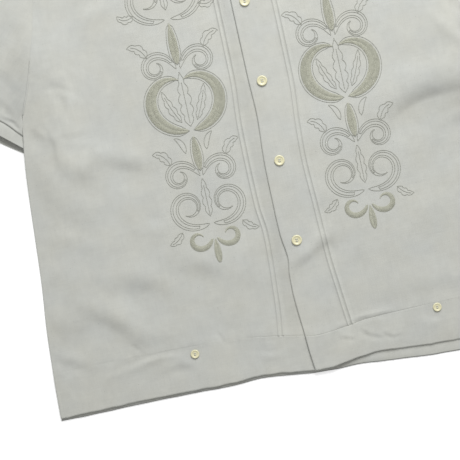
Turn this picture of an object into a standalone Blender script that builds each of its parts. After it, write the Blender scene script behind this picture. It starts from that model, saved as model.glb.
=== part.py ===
"""Short-sleeved linen shirt with an embroidered front, laid flat on its back.

The shirt lies with its front up. x runs across it, towards the wearer's left, y runs from the
hem to the collar, and z is up from the surface it lies on. Sizes are in millimetres and are
turned to metres where a mesh is made. x = 0 is the line of the front buttons and y = 0 is the
front hem at that line. The whole shirt is then centred on its own box, with z = 0 below it.
"""

import math
from collections import namedtuple

import bpy
import bmesh

MM = 0.001

# Cloth
WALL = 1.5
BAND_WALL = 2.1
COLLAR_WALL = 1.6
GAP = 0.3

# Body
NECK_HALF = 78.0
NECK_Y = 628.0
FRONT_NECK_DROP = 75.0
BACK_NECK_DROP = 16.0
SHOULDER_HALF = 215.0
SHOULDER_Y = 583.0
ARMPIT_HALF = 265.0
ARMPIT_Y = 343.0
UNDERLAP_EDGE = 17.0
OVERLAP_SLOPE = 26.0
OVERLAP_EXTRA = 0.25
OVERLAP_SEAM_STEP = 0.7
BACK_SEAM_Y = 33.0

# Rows and columns of the panels: the fronts and the back share their rows and side columns
FIRST_ROW_Y = 72.0
ROWS_BELOW = 11
ROWS_ABOVE = 11
EDGE_COLUMNS = 2
FRONT_NECK_COLUMNS = 3
BACK_NECK_COLUMNS = 4
SPAN_COLUMNS = 2
SIDE_INSETS = (100.0, 72.0, 48.0, 30.0, 14.0, 0.0)
BAND_ROWS = 3

# Pin tucks, in two pairs that run from the neckline to the bottom band
TUCK_SPACING = 5.0
TUCK_FOOT = 1.5
TUCK_HEIGHT = 1.1

# Sleeves, each a flattened tube
SLEEVE_WALL = 1.5
SLEEVE_INSIDE = 0.45
SLEEVE_FOLD = 1.6
SLEEVE_RINGS = 11
HEM_CROSSING = (-271.0, 307.0)
HEM_ANGLE = math.radians(139.5)
HEM_OUT = 138.0
HEM_IN = 50.0
MOUTH_HEIGHT = 3.0
MOUTH_ACROSS = 0.72
MOUTH_DEPTH = 0.42
MOUTH_STEP = 9.0

# Where a sleeve's inner corner is tucked under the side, the body is lifted
TUCK_UNDER_LIFT = 4.1
TUCK_UNDER_ARMHOLE = 62.0
LIFT_MARGIN = 12.0
LIFT_FADE = 36.0

# Ease of the front over the back, and how far a fold's ends are from its full height
EASE = 1.0
EASE_FADE = 45.0
FOLD_ENDS = 0.12

# Buttons
FRONT_BUTTON_Y = 145.2
FRONT_BUTTON_SPACING = 89.6
FRONT_BUTTON_COUNT = 5
FRONT_BUTTON_DIAMETER = 11.4
HEM_BUTTON_DIAMETER = 9.6
HEM_BUTTONS = {"hem_button_right": (-135.9, 46.6), "hem_button_left": (135.2, 40.4)}
BUTTON_SIDES = 20
BUTTON_THICKNESS = 0.235

# Collar, which rests on the fronts from this place of its half on
COLLAR_SECTIONS = 35
COLLAR_REST = 0.7
COLLAR_REST_FROM = 0.3
STAND_UP_BACK = 3.2
STAND_UP_FRONT = 5.4

Side = namedtuple("Side", "y half")
Line = namedtuple("Line", "y x")
Edge = namedtuple("Edge", "x y")
Fold = namedtuple("Fold", "x0 y0 x1 y1 height width")
Section = namedtuple("Section", "place neck direction fold_out fold_up leaf_out leaf_up")
Leaf = namedtuple("Leaf", "out down")
Ring = namedtuple("Ring", "radius up")

SIDE_SEAM = (
    Side(0.0, 295.5),
    Side(52.0, 293.6),
    Side(105.0, 290.4),
    Side(158.0, 284.8),
    Side(211.0, 281.0),
    Side(262.0, 277.2),
    Side(306.0, 271.9),
    Side(ARMPIT_Y, ARMPIT_HALF),
)
ARMHOLE = (
    Side(ARMPIT_Y, ARMPIT_HALF),
    Side(370.0, 254.0),
    Side(400.0, 244.5),
    Side(445.0, 232.0),
    Side(510.0, 220.5),
    Side(SHOULDER_Y, SHOULDER_HALF),
)
FRONT_EDGE = (
    Line(0.0, -10.2),
    Line(23.0, -12.5),
    Line(42.0, -13.6),
    Line(84.0, -16.4),
    Line(111.0, -15.9),
    Line(128.0, -13.7),
    Line(155.0, -16.6),
    Line(195.0, -17.0),
    Line(238.0, -16.6),
    Line(288.0, -13.6),
    Line(332.0, -14.5),
    Line(560.0, -15.0),
)
RIGHT_TUCKS = (
    Line(40.0, -40.2),
    Line(71.0, -35.9),
    Line(100.0, -33.8),
    Line(132.0, -31.9),
    Line(163.0, -31.2),
    Line(191.0, -34.0),
    Line(280.0, -34.0),
    Line(335.0, -30.6),
    Line(560.0, -31.0),
)
LEFT_TUCKS = (
    Line(40.0, 38.3),
    Line(60.0, 36.3),
    Line(88.0, 33.7),
    Line(120.0, 31.0),
    Line(180.0, 29.1),
    Line(228.0, 27.4),
    Line(273.0, 29.1),
    Line(322.0, 32.5),
    Line(560.0, 31.0),
)
FRONT_SEAM = (
    Edge(-296.0, 58.0),
    Edge(-180.0, 57.0),
    Edge(-99.0, 54.2),
    Edge(-45.0, 47.0),
    Edge(-15.0, 41.2),
    Edge(0.0, 38.4),
    Edge(37.0, 41.5),
    Edge(55.0, 44.2),
    Edge(136.0, 45.8),
    Edge(296.0, 46.0),
)
FRONT_HEM = (
    Edge(-296.0, 8.0),
    Edge(-180.0, 8.4),
    Edge(-100.0, 6.2),
    Edge(-69.0, 7.6),
    Edge(-38.0, 4.5),
    Edge(-10.0, 0.2),
    Edge(6.0, 0.0),
    Edge(43.0, 5.3),
    Edge(64.0, 6.4),
    Edge(97.0, 3.8),
    Edge(151.0, 0.9),
    Edge(296.0, 3.5),
)
BACK_HEM = (
    Edge(-296.0, 5.0),
    Edge(-180.0, 4.6),
    Edge(-100.0, 3.0),
    Edge(-70.0, 4.6),
    Edge(-38.0, 2.0),
    Edge(0.0, -1.6),
    Edge(41.0, -2.4),
    Edge(94.0, -8.1),
    Edge(147.0, -11.8),
    Edge(205.0, -12.4),
    Edge(296.0, -4.0),
)
FOLDS = (
    Fold(62.0, 330.0, 128.0, 300.0, -0.9, 16.0),
    Fold(60.0, 262.0, 190.0, 205.0, 1.6, 26.0),
    Fold(96.0, 120.0, 205.0, 168.0, 1.5, 24.0),
    Fold(75.0, 62.0, 250.0, 74.0, 1.8, 13.0),
    Fold(150.0, 400.0, 90.0, 470.0, 1.6, 24.0),
    Fold(-212.0, 118.0, -118.0, 86.0, -0.9, 15.0),
    Fold(-250.0, 74.0, -110.0, 70.0, 1.6, 13.0),
    Fold(-240.0, 318.0, -168.0, 372.0, 1.9, 17.0),
    Fold(-262.0, 250.0, -216.0, 214.0, 1.5, 20.0),
    Fold(-150.0, 180.0, -70.0, 132.0, 1.4, 26.0),
    Fold(-170.0, 400.0, -96.0, 480.0, 1.5, 24.0),
    Fold(240.0, 322.0, 170.0, 366.0, 1.8, 18.0),
)
COLLAR = (
    Section(0.00, 0.0, 90.0, 13.0, 17.0, 44.0, 1.7),
    Section(0.12, 26.0, 82.0, 12.0, 16.8, 44.0, 1.8),
    Section(0.24, 54.0, 66.0, 8.5, 16.0, 42.0, 2.4),
    Section(0.36, 90.0, 22.0, 3.0, 14.5, 41.0, 5.6),
    Section(0.48, 108.0, -6.0, -2.0, 13.4, 46.0, 5.2),
    Section(0.60, 126.0, -27.0, -4.0, 12.4, 54.0, 5.0),
    Section(0.72, 142.0, -43.0, -5.0, 11.6, 63.0, 5.0),
    Section(0.84, 157.0, -52.0, -4.5, 11.2, 73.0, 5.0),
    Section(1.00, 173.0, -49.0, -4.0, 11.2, 82.0, 5.0),
)
LEAF_LINE = (
    Leaf(0.42, 0.66),
    Leaf(0.75, 0.93),
    Leaf(1.00, 1.00),
)
BUTTON_PROFILE = (
    Ring(0.00, 0.00),
    Ring(0.74, 0.00),
    Ring(0.94, 0.22),
    Ring(1.00, 0.50),
    Ring(0.97, 0.84),
    Ring(0.86, 1.00),
    Ring(0.74, 0.84),
    Ring(0.60, 0.66),
    Ring(0.00, 0.60),
)

LINEN = ("linen", (0.53, 0.54, 0.50, 1.0), 0.86)
SHELL = ("button_shell", (0.72, 0.69, 0.52, 1.0), 0.38)


def smooth(share):
    """A soft step from 0 to 1."""
    share = min(max(share, 0.0), 1.0)
    return share * share * (3.0 - 2.0 * share)


def mix(a, b, share):
    """The value that lies this share of the way from a to b."""
    return a + (b - a) * share


def along(rows, column, at):
    """Reads one column of a table at a place between its rows, on a smooth curve through them.

    The first column of the table is the place. Past the ends the end rows hold.
    """
    places = [row[0] for row in rows]
    values = [getattr(row, column) for row in rows]
    if at <= places[0]:
        return values[0]
    if at >= places[-1]:
        return values[-1]
    last = len(rows) - 1
    i = max(k for k in range(last) if places[k] <= at)
    slopes = []
    for k in (i, i + 1):
        low, high = max(k - 1, 0), min(k + 1, last)
        slopes.append((values[high] - values[low]) / (places[high] - places[low]))
    span = places[i + 1] - places[i]
    t = (at - places[i]) / span
    rise = values[i + 1] - values[i]
    a = slopes[0] * span - rise
    b = rise - slopes[1] * span
    return mix(values[i], values[i + 1], t) + t * (1.0 - t) * (a * (1.0 - t) + b * t)


def side_half(y):
    """Half the body's width at a height: the side seam, and above it the armhole."""
    return along(SIDE_SEAM if y < ARMPIT_Y else ARMHOLE, "half", y)


def shoulder_y(x):
    """The shoulder seam's height over a place across the shirt."""
    share = (abs(x) - NECK_HALF) / (SHOULDER_HALF - NECK_HALF)
    return mix(NECK_Y, SHOULDER_Y, share)


def top_y(x, drop):
    """The upper edge of a panel: its neckline, an arc of this drop, and then the shoulder."""
    if abs(x) >= NECK_HALF:
        return shoulder_y(x)
    return NECK_Y - drop * math.sqrt(1.0 - (x / NECK_HALF) ** 2)


def to_segment(x, y, x0, y0, x1, y1):
    """Distance from a point to a segment, and the share of the segment's length there."""
    dx, dy = x1 - x0, y1 - y0
    share = ((x - x0) * dx + (y - y0) * dy) / (dx * dx + dy * dy)
    share = min(max(share, 0.0), 1.0)
    return math.hypot(x - x0 - dx * share, y - y0 - dy * share), share


def sleeve_corners():
    """Outer and inner corner of the right sleeve's hem."""
    along_x, along_y = math.cos(HEM_ANGLE), math.sin(HEM_ANGLE)
    x, y = HEM_CROSSING
    outer = (x + HEM_OUT * along_x, y + HEM_OUT * along_y)
    inner = (x - HEM_IN * along_x, y - HEM_IN * along_y)
    return outer, inner


def lift(x, y):
    """Height of the back's underside: 0 where it rests, more over a sleeve's inner corner."""
    over = ARMPIT_Y + TUCK_UNDER_ARMHOLE
    armpit = (-ARMPIT_HALF, ARMPIT_Y)
    corners = ((-side_half(over), over), armpit, HEM_CROSSING, sleeve_corners()[1])
    x = -abs(x)
    inside = True
    nearest = float("inf")
    for k, (x0, y0) in enumerate(corners):
        x1, y1 = corners[(k + 1) % len(corners)]
        nearest = min(nearest, to_segment(x, y, x0, y0, x1, y1)[0])
        inside = inside and (x1 - x0) * (y - y0) - (y1 - y0) * (x - x0) >= 0.0
    if inside:
        nearest = 0.0
    return TUCK_UNDER_LIFT * smooth(1.0 - (nearest - LIFT_MARGIN) / LIFT_FADE)


def rise(x, y):
    """How far the front stands off the back: its ease, and its largest folds."""
    to_side = side_half(y) - abs(x)
    to_top = top_y(x, FRONT_NECK_DROP) - y
    to_front = abs(x) - UNDERLAP_EDGE - TUCK_SPACING
    to_band = y - seam_y(x, False)
    room = smooth(min(to_side, to_top, to_front, to_band * 2.0) / EASE_FADE)
    height = EASE
    for fold in FOLDS:
        away, share = to_segment(x, y, fold.x0, fold.y0, fold.x1, fold.y1)
        swell = math.sin(math.pi * mix(FOLD_ENDS, 1.0 - FOLD_ENDS, share))
        height += fold.height * swell * math.exp(-((away / fold.width) ** 2))
    return max(height, 0.0) * room


def overlap(x):
    """1 where the left front lies on the right front's edge, easing to 0 beyond it."""
    return 1.0 - smooth((x - UNDERLAP_EDGE - 2.0) / OVERLAP_SLOPE)


def seam_y(x, upper):
    """Height of the seam between a front and its band, a little higher on the upper front."""
    return along(FRONT_SEAM, "y", x) + upper * overlap(x) * OVERLAP_SEAM_STEP


def front_low(x, y, upper):
    """Underside of a front panel."""
    base = lift(x, y) + WALL + GAP + rise(x, y)
    return base + upper * overlap(x) * (WALL + GAP + OVERLAP_EXTRA)


def band_low(x, upper):
    """Underside of a front band, on the back band."""
    return BAND_WALL + GAP + upper * overlap(x) * (BAND_WALL + GAP + OVERLAP_EXTRA)


def tuck_height(x, centre):
    """Height of the pair of pin tucks over the cloth, at a place across it."""
    height = 0.0
    for crest in (centre - TUCK_SPACING / 2, centre + TUCK_SPACING / 2):
        height = max(height, TUCK_HEIGHT * (1.0 - abs(x - crest) / TUCK_FOOT))
    return height


def material(finish):
    """The Principled BSDF material of a finish, made once."""
    name, colour, roughness = finish
    made = bpy.data.materials.get(name)
    if made is None:
        made = bpy.data.materials.new(name)
        made.use_nodes = True
        shader = made.node_tree.nodes["Principled BSDF"]
        shader.inputs["Base Color"].default_value = colour
        shader.inputs["Roughness"].default_value = roughness
        shader.inputs["Metallic"].default_value = 0.0
    return made


def add_object(name, points, faces, finish, parent):
    """Makes one closed piece from points in millimetres and faces, with its faces pointing out."""
    mesh = bpy.data.meshes.new(name)
    mesh.from_pydata([(x * MM, y * MM, z * MM) for x, y, z in points], [], faces)
    work = bmesh.new()
    work.from_mesh(mesh)
    bmesh.ops.recalc_face_normals(work, faces=work.faces)
    work.to_mesh(mesh)
    work.free()
    mesh.materials.append(material(finish))
    piece = bpy.data.objects.new(name, mesh)
    bpy.context.collection.objects.link(piece)
    piece.parent = parent
    return piece


def add_sheet(name, rows, parent):
    """A closed sheet of cloth from rows of (x, y, low, high) points.

    Each cell is cut from its lower corner nearer the middle, so that layered sheets match.
    """
    across = len(rows[0])
    flat = [point for row in rows for point in row]
    count = len(flat)
    points = [(x, y, low) for x, y, low, high in flat]
    points += [(x, y, high) for x, y, low, high in flat]
    faces = []
    for r in range(len(rows) - 1):
        for c in range(across - 1):
            a, b = r * across + c, r * across + c + 1
            d, e = b + across, a + across
            outwards = abs(flat[a][0]) < abs(flat[b][0])
            halves = ((a, b, d), (a, d, e)) if outwards else ((a, b, e), (b, d, e))
            for i, j, k in halves:
                faces.append((i, k, j))
                faces.append((count + i, count + j, count + k))
    rim = [c for c in range(across)]
    rim += [r * across + across - 1 for r in range(1, len(rows))]
    rim += [(len(rows) - 1) * across + c for c in range(across - 2, -1, -1)]
    rim += [r * across for r in range(len(rows) - 2, 0, -1)]
    for k, a in enumerate(rim):
        b = rim[(k + 1) % len(rim)]
        faces.append((a, b, count + b, count + a))
    return add_object(name, points, faces, LINEN, parent)


def row_heights():
    """Heights of a panel's rows at its side, from the first row over the band to the shoulder."""
    below = [mix(FIRST_ROW_Y, ARMPIT_Y, k / ROWS_BELOW) for k in range(ROWS_BELOW)]
    return below + [mix(ARMPIT_Y, SHOULDER_Y, k / ROWS_ABOVE) for k in range(ROWS_ABOVE + 1)]


def row_y(side_y, top):
    """Height of a row at one column: level up to the armpit, then fanning out to the top edge."""
    if side_y <= ARMPIT_Y:
        return side_y
    return mix(ARMPIT_Y, top, (side_y - ARMPIT_Y) / (SHOULDER_Y - ARMPIT_Y))


def span_shares(start, neck_columns):
    """Columns between a place near the middle and the side columns, one at the neck point."""
    neck = (NECK_HALF - start) / (SHOULDER_HALF - SIDE_INSETS[0] - start)
    shares = [neck * k / neck_columns for k in range(1, neck_columns + 1)]
    return shares + [mix(neck, 1.0, k / SPAN_COLUMNS) for k in range(1, SPAN_COLUMNS)]


def tuck_line(side):
    """The table of the tuck pair on one side."""
    return LEFT_TUCKS if side > 0 else RIGHT_TUCKS


def front_columns(side):
    """Columns of a front, each a kind and a value, from its front edge to its side."""
    foot = TUCK_SPACING / 2 + TUCK_FOOT
    inner = TUCK_SPACING / 2 - TUCK_FOOT
    offsets = (-foot, -TUCK_SPACING / 2, -inner, inner, TUCK_SPACING / 2, foot)
    start = abs(along(tuck_line(side), "x", NECK_Y)) + foot
    columns = [("edge", k / EDGE_COLUMNS) for k in range(EDGE_COLUMNS)]
    columns += [("tuck", offset) for offset in offsets]
    columns += [("span", share) for share in span_shares(start, FRONT_NECK_COLUMNS)]
    return columns + [("inset", inset) for inset in SIDE_INSETS]


def front_x(side, column, y, side_y):
    """Place across the shirt of a front's column at height y."""
    kind, value = column
    tucks = along(tuck_line(side), "x", y)
    foot = side * (TUCK_SPACING / 2 + TUCK_FOOT)
    half = side_half(side_y)
    if kind == "edge":
        edge = along(FRONT_EDGE, "x", y) if side > 0 else UNDERLAP_EDGE
        return mix(edge, tucks - foot, value)
    if kind == "tuck":
        return tucks + side * value
    if kind == "span":
        return mix(tucks + foot, side * (half - SIDE_INSETS[0]), value)
    return side * (half - value)


def front_point(side, x, y):
    """A front's point at one place: its underside, and its upper side with the tucks."""
    low = front_low(x, y, side > 0)
    return (x, y, low, low + WALL + tuck_height(x, along(tuck_line(side), "x", y)))


def front_rows(side):
    """Rows of (x, y, low, high) points of a front panel."""
    columns = front_columns(side)
    side_y = seam_y(side * SIDE_SEAM[0].half, side > 0)
    foot = []
    for column in columns:
        x = front_x(side, column, side_y, side_y)
        foot.append(front_point(side, x, seam_y(x, side > 0) + GAP))
    rows = [foot]
    for side_y in row_heights():
        row = []
        for column in columns:
            top = top_y(front_x(side, column, NECK_Y, SHOULDER_Y), FRONT_NECK_DROP)
            y = row_y(side_y, top)
            row.append(front_point(side, front_x(side, column, y, side_y), y))
        rows.append(row)
    return rows


def front_band_rows(side):
    """Rows of points of a front band, under the front panel's columns."""
    side_y = seam_y(side * SIDE_SEAM[0].half, side > 0)
    rows = []
    for r in range(BAND_ROWS + 1):
        row = []
        for column in front_columns(side):
            top_x = front_x(side, column, side_y, side_y)
            y = mix(along(FRONT_HEM, "y", top_x), seam_y(top_x, side > 0), r / BAND_ROWS)
            low = band_low(top_x, side > 0)
            row.append((front_x(side, column, y, y), y, low, low + BAND_WALL))
        rows.append(row)
    return rows


def back_columns():
    """Columns of the back's half, each a kind and a value, from its middle to its side."""
    shares = span_shares(0.0, BACK_NECK_COLUMNS)
    return [("span", share) for share in shares] + [("inset", inset) for inset in SIDE_INSETS]


def back_x(column, half):
    """Distance from the middle of a back's column where the back is this wide."""
    kind, value = column
    return (half - SIDE_INSETS[0]) * value if kind == "span" else half - value


def mirrored(half_row):
    """A whole row from the half of it that runs from the middle to the wearer's left side."""
    return [(-x, y, low, high) for x, y, low, high in reversed(half_row[1:])] + half_row


def back_rows():
    """Rows of points of the back panel, from its band's seam to the neckline and shoulders."""
    columns = [("span", 0.0)] + back_columns()
    half = side_half(BACK_SEAM_Y)
    rows = [mirrored([(back_x(c, half), BACK_SEAM_Y + GAP, 0.0, WALL) for c in columns])]
    for side_y in row_heights():
        row = []
        for column in columns:
            x = back_x(column, side_half(side_y))
            y = row_y(side_y, top_y(back_x(column, SHOULDER_HALF), BACK_NECK_DROP))
            row.append((x, y, lift(x, y), lift(x, y) + WALL))
        rows.append(mirrored(row))
    return rows


def back_band_rows():
    """Rows of points of the back's band, whose hem isn't the same on both sides."""
    columns = [("span", 0.0)] + back_columns()
    half_row = [(back_x(column, side_half(0.0)), 0.0, 0.0, BAND_WALL) for column in columns]
    rows = []
    for r in range(BAND_ROWS + 1):
        row = []
        for x, hem, low, high in mirrored(half_row):
            hem = along(BACK_HEM, "y", x)
            row.append((x, mix(hem, BACK_SEAM_Y, r / BAND_ROWS), low, high))
        rows.append(row)
    return rows


def sleeve_point(across, down):
    """Place of a sleeve's column and ring: across from its top fold, down from the armhole."""
    outer, inner = sleeve_corners()
    y = mix(SHOULDER_Y, ARMPIT_Y, across)
    start = (-side_half(y) - GAP, y)
    end = (mix(outer[0], inner[0], across), mix(outer[1], inner[1], across))
    return mix(start[0], end[0], down), mix(start[1], end[1], down)


def mouth(across, down):
    """How open the sleeve is: 0 away from its hem and under the body, 1 at its widest."""
    open_across = math.sin(math.pi * min(across / MOUTH_ACROSS, 1.0))
    return open_across * smooth(1.0 - (1.0 - down) / MOUTH_DEPTH)


def sleeve_section(down):
    """One ring of a sleeve, as two closed loops of points: its outside and its inside."""
    shares = [k / ROWS_ABOVE for k in range(ROWS_ABOVE + 1)]
    top_fold, bottom_fold = sleeve_point(0.0, down), sleeve_point(1.0, down)
    length = math.dist(top_fold, bottom_fold)
    ux, uy = (bottom_fold[0] - top_fold[0]) / length, (bottom_fold[1] - top_fold[1]) / length
    outer, inner = [], []
    for lower in (False, True):
        for share in reversed(shares) if lower else shares:
            x, y = sleeve_point(share, down)
            fold = SLEEVE_FOLD * ((share == 0.0) - (share == 1.0))
            x, y = x + ux * fold, y + uy * fold
            step = MOUTH_STEP * mouth(share, down) * smooth(down) if lower else 0.0
            x, y = x + math.sin(HEM_ANGLE) * -step, y + math.cos(HEM_ANGLE) * step
            inside_low = SLEEVE_WALL
            inside_high = inside_low + SLEEVE_INSIDE + MOUTH_HEIGHT * mouth(share, down)
            hollow = SLEEVE_WALL * ((share == 0.0) - (share == 1.0))
            outer.append((x, y, 0.0 if lower else inside_high + SLEEVE_WALL))
            inner.append((x + ux * hollow, y + uy * hollow, inside_low if lower else inside_high))
        fold_x, fold_y = top_fold if lower else bottom_fold
        outer.append((fold_x, fold_y, SLEEVE_WALL + SLEEVE_INSIDE / 2))
        turn = (SLEEVE_FOLD + SLEEVE_WALL * 0.8) * (1.0 if lower else -1.0)
        inner.append((fold_x + ux * turn, fold_y + uy * turn, SLEEVE_WALL + SLEEVE_INSIDE / 2))
    return outer, inner


def add_sleeve(name, side, parent):
    """A sleeve: a flattened tube of cloth through rings from the armhole to the hem."""
    points, faces = [], []
    for r in range(SLEEVE_RINGS):
        for loop in sleeve_section(r / (SLEEVE_RINGS - 1)):
            points += [(-side * x, y, z) for x, y, z in loop]
    around = 2 * (ROWS_ABOVE + 1) + 2
    for r in range(SLEEVE_RINGS - 1):
        for first in (0, around):
            for k in range(around):
                a = 2 * around * r + first + k
                b = 2 * around * r + first + (k + 1) % around
                faces.append((a, b, b + 2 * around, a + 2 * around))
    for first in (0, 2 * around * (SLEEVE_RINGS - 1)):
        for k in range(around):
            a, b = first + k, first + (k + 1) % around
            faces.append((a, b, b + around, a + around))
    return add_object(name, points, faces, LINEN, parent)


def neck_point(angle):
    """A point of the neck seam: angle 0 at the centre back, 90 at the shoulder, 180 in front."""
    turn = math.radians(angle)
    drop = BACK_NECK_DROP if angle <= 90.0 else FRONT_NECK_DROP
    return NECK_HALF * math.sin(turn), NECK_Y - drop * abs(math.cos(turn))


def collar_section(place):
    """One section of the collar's left half, as a closed loop of points round its wall."""
    x, y = neck_point(along(COLLAR, "neck", place))
    turn = math.radians(along(COLLAR, "direction", place))
    fold_out, fold_up = along(COLLAR, "fold_out", place), along(COLLAR, "fold_up", place)
    leaf_out, leaf_up = along(COLLAR, "leaf_out", place), along(COLLAR, "leaf_up", place)
    seam_up = mix(STAND_UP_BACK, STAND_UP_FRONT, smooth((place - 0.1) / 0.3))
    line = [
        (0.0, seam_up),
        (fold_out / 2 - 0.6, (seam_up + fold_up) / 2),
        (fold_out - 1.0, fold_up - 1.9),
        (fold_out + 0.3, fold_up),
        (fold_out + 3.2, fold_up - 0.6),
    ]
    for out_share, down_share in LEAF_LINE:
        line.append((mix(fold_out, leaf_out, out_share), mix(fold_up, leaf_up, down_share)))
    if place > COLLAR_REST_FROM:
        for k, (out, up) in enumerate(line):
            over = (x + out * math.cos(turn), y + out * math.sin(turn))
            rest = front_low(*over, True) + WALL + COLLAR_WALL / 2 + COLLAR_REST
            line[k] = (out, max(up, rest))
    outside, inside = [], []
    for k, (out, up) in enumerate(line):
        before, after = line[max(k - 1, 0)], line[min(k + 1, len(line) - 1)]
        run, climb = after[0] - before[0], after[1] - before[1]
        size = math.hypot(run, climb)
        across, over = -climb / size * COLLAR_WALL / 2, run / size * COLLAR_WALL / 2
        outside.append((out + across, up + over))
        inside.append((out - across, up - over))
    loop = outside + inside[::-1]
    return [(x + out * math.cos(turn), y + out * math.sin(turn), up) for out, up in loop]


def add_collar(name, parent):
    """The collar: a stand and a turned-down leaf, lofted through sections round the neck."""
    half = COLLAR_SECTIONS // 2
    sections = []
    for k in range(-half, half + 1):
        loop = collar_section(abs(k) / half)
        sections.append([(-x, y, z) for x, y, z in loop] if k < 0 else loop)
    around = len(sections[0])
    points = [point for loop in sections for point in loop]
    faces = []
    for s in range(len(sections) - 1):
        for k in range(around):
            a, b = s * around + k, s * around + (k + 1) % around
            faces.append((a, b, b + around, a + around))
    plies = around // 2
    for first in (0, around * (len(sections) - 1)):
        for k in range(plies - 1):
            faces.append((first + k, first + k + 1, first + around - 2 - k, first + around - 1 - k))
    return add_object(name, points, faces, LINEN, parent)


def add_button(name, x, y, up, diameter, parent):
    """A round button: a turned disc with a raised rim and a dished middle."""
    points, faces, rings = [], [], []
    for ring in BUTTON_PROFILE:
        z = up + ring.up * diameter * BUTTON_THICKNESS
        radius = ring.radius * diameter / 2
        count = 1 if radius == 0.0 else BUTTON_SIDES
        rings.append(range(len(points), len(points) + count))
        for k in range(count):
            turn = 2.0 * math.pi * k / BUTTON_SIDES
            points.append((x + radius * math.cos(turn), y + radius * math.sin(turn), z))
    for low, high in zip(rings, rings[1:]):
        for k in range(BUTTON_SIDES):
            after = (k + 1) % BUTTON_SIDES
            if len(low) == 1:
                faces.append((low[0], high[after], high[k]))
            elif len(high) == 1:
                faces.append((low[k], low[after], high[0]))
            else:
                faces.append((low[k], low[after], high[after], high[k]))
    return add_object(name, points, faces, SHELL, parent)


def add_buttons(parent):
    """The front buttons, on the left front, and one small button on each front band."""
    for k in range(FRONT_BUTTON_COUNT):
        y = FRONT_BUTTON_Y + FRONT_BUTTON_SPACING * k
        up = front_low(0.0, y, True) + WALL + GAP
        add_button(f"front_button_{k + 1}", 0.0, y, up, FRONT_BUTTON_DIAMETER, parent)
    for name, (x, y) in HEM_BUTTONS.items():
        up = band_low(x, x > 0.0) + BAND_WALL + GAP
        add_button(name, x, y, up, HEM_BUTTON_DIAMETER, parent)


def clear_scene():
    """Removes whatever the scene holds."""
    for old in list(bpy.data.objects):
        bpy.data.objects.remove(old, do_unlink=True)


def centre(parent):
    """Moves the shirt so that its box is centred over the origin and stands on z = 0."""
    corners = [vertex.co for piece in parent.children for vertex in piece.data.vertices]
    low = [min(corner[axis] for corner in corners) for axis in range(3)]
    high = [max(corner[axis] for corner in corners) for axis in range(3)]
    parent.location = (-(low[0] + high[0]) / 2, -(low[1] + high[1]) / 2, -low[2])


def main():
    """Makes the shirt's pieces."""
    clear_scene()
    shirt = bpy.data.objects.new("shirt", None)
    bpy.context.collection.objects.link(shirt)
    add_sheet("back", back_rows(), shirt)
    add_sheet("band_back", back_band_rows(), shirt)
    for name, side in (("right", -1.0), ("left", 1.0)):
        add_sheet(f"front_{name}", front_rows(side), shirt)
        add_sheet(f"band_front_{name}", front_band_rows(side), shirt)
        add_sleeve(f"sleeve_{name}", side, shirt)
    add_collar("collar", shirt)
    add_buttons(shirt)
    centre(shirt)
    bpy.context.view_layer.update()


main()
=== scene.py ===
"""Dresses a short-sleeved embroidered linen shirt that lies flat, with its front up.

The shirt's plan is kept in millimetres, as its pattern maker would: x runs across it from the
line of the front buttons, towards the wearer's left, and y runs from the hem to the collar.
Place turns that plan to the frame's metres. Heights are millimetres over the surface below.
"""

import logging
import math
from dataclasses import dataclass, field
from enum import Enum
from typing import Any, Iterable, NamedTuple, Optional, Sequence, Union

import bmesh
import bpy
import numpy as np
from bpy.types import ID, Material, Node, NodeSocket, NodeTree, Object
from mathutils import Matrix, Vector
from mathutils.bvhtree import BVHTree


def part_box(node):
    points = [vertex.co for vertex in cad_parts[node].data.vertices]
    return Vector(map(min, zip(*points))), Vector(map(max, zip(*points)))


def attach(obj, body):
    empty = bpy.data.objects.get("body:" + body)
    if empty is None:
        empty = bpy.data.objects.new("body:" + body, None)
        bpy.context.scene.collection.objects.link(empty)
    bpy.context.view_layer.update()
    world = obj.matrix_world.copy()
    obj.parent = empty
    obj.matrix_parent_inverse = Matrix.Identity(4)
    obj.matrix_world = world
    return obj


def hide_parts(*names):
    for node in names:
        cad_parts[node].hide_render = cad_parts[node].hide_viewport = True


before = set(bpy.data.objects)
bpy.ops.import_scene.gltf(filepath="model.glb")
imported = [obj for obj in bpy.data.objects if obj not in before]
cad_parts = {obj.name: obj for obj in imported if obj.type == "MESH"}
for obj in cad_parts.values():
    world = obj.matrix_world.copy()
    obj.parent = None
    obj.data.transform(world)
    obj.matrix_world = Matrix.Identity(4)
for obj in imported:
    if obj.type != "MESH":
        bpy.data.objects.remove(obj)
log = logging.getLogger("shirt")

MM = 0.001
PAINTED_SHADE_ATTRIBUTE = "tone"
Array = np.ndarray
Point = tuple[float, float]
Colour = tuple[float, float, float, float]


class Side(Enum):
    """The wearer's side that a piece is on, as the sign of its place across the shirt."""

    RIGHT = -1
    LEFT = 1

    @property
    def word(self) -> str:
        """The side's name, as the frame's nodes have it."""
        return self.name.lower()


class Stitch(Enum):
    """How a part of the embroidery is worked."""

    OUTLINE = "outline"
    DOUBLE = "double outline"
    VEINED = "outline and vein"
    SATIN = "satin"
    BORDERED = "bordered satin"


class Slot(Enum):
    """The record's material slots."""

    LINEN = "linen"
    THREAD = "embroidery_thread"
    BUTTON = "button_shell"


def mix(a: Any, b: Any, share: Any) -> Any:
    """The value that lies this share of the way from a to b."""
    return a + (b - a) * share


def smooth(share: Any) -> Any:
    """A soft step from 0 to 1."""
    share = np.clip(share, 0.0, 1.0)
    return share * share * (3.0 - 2.0 * share)


def quarter_round(away: Array, radius: float) -> Array:
    """How far a rounded edge has dropped at a distance from the edge.

    Args:
        away: distances in from the edge.
        radius: the rounding's radius.

    Returns:
        The drop, 0 from the radius inwards.
    """
    left = np.clip(radius - away, 0.0, radius)
    return radius - np.sqrt(np.maximum(radius * radius - left * left, 0.0))


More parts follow.
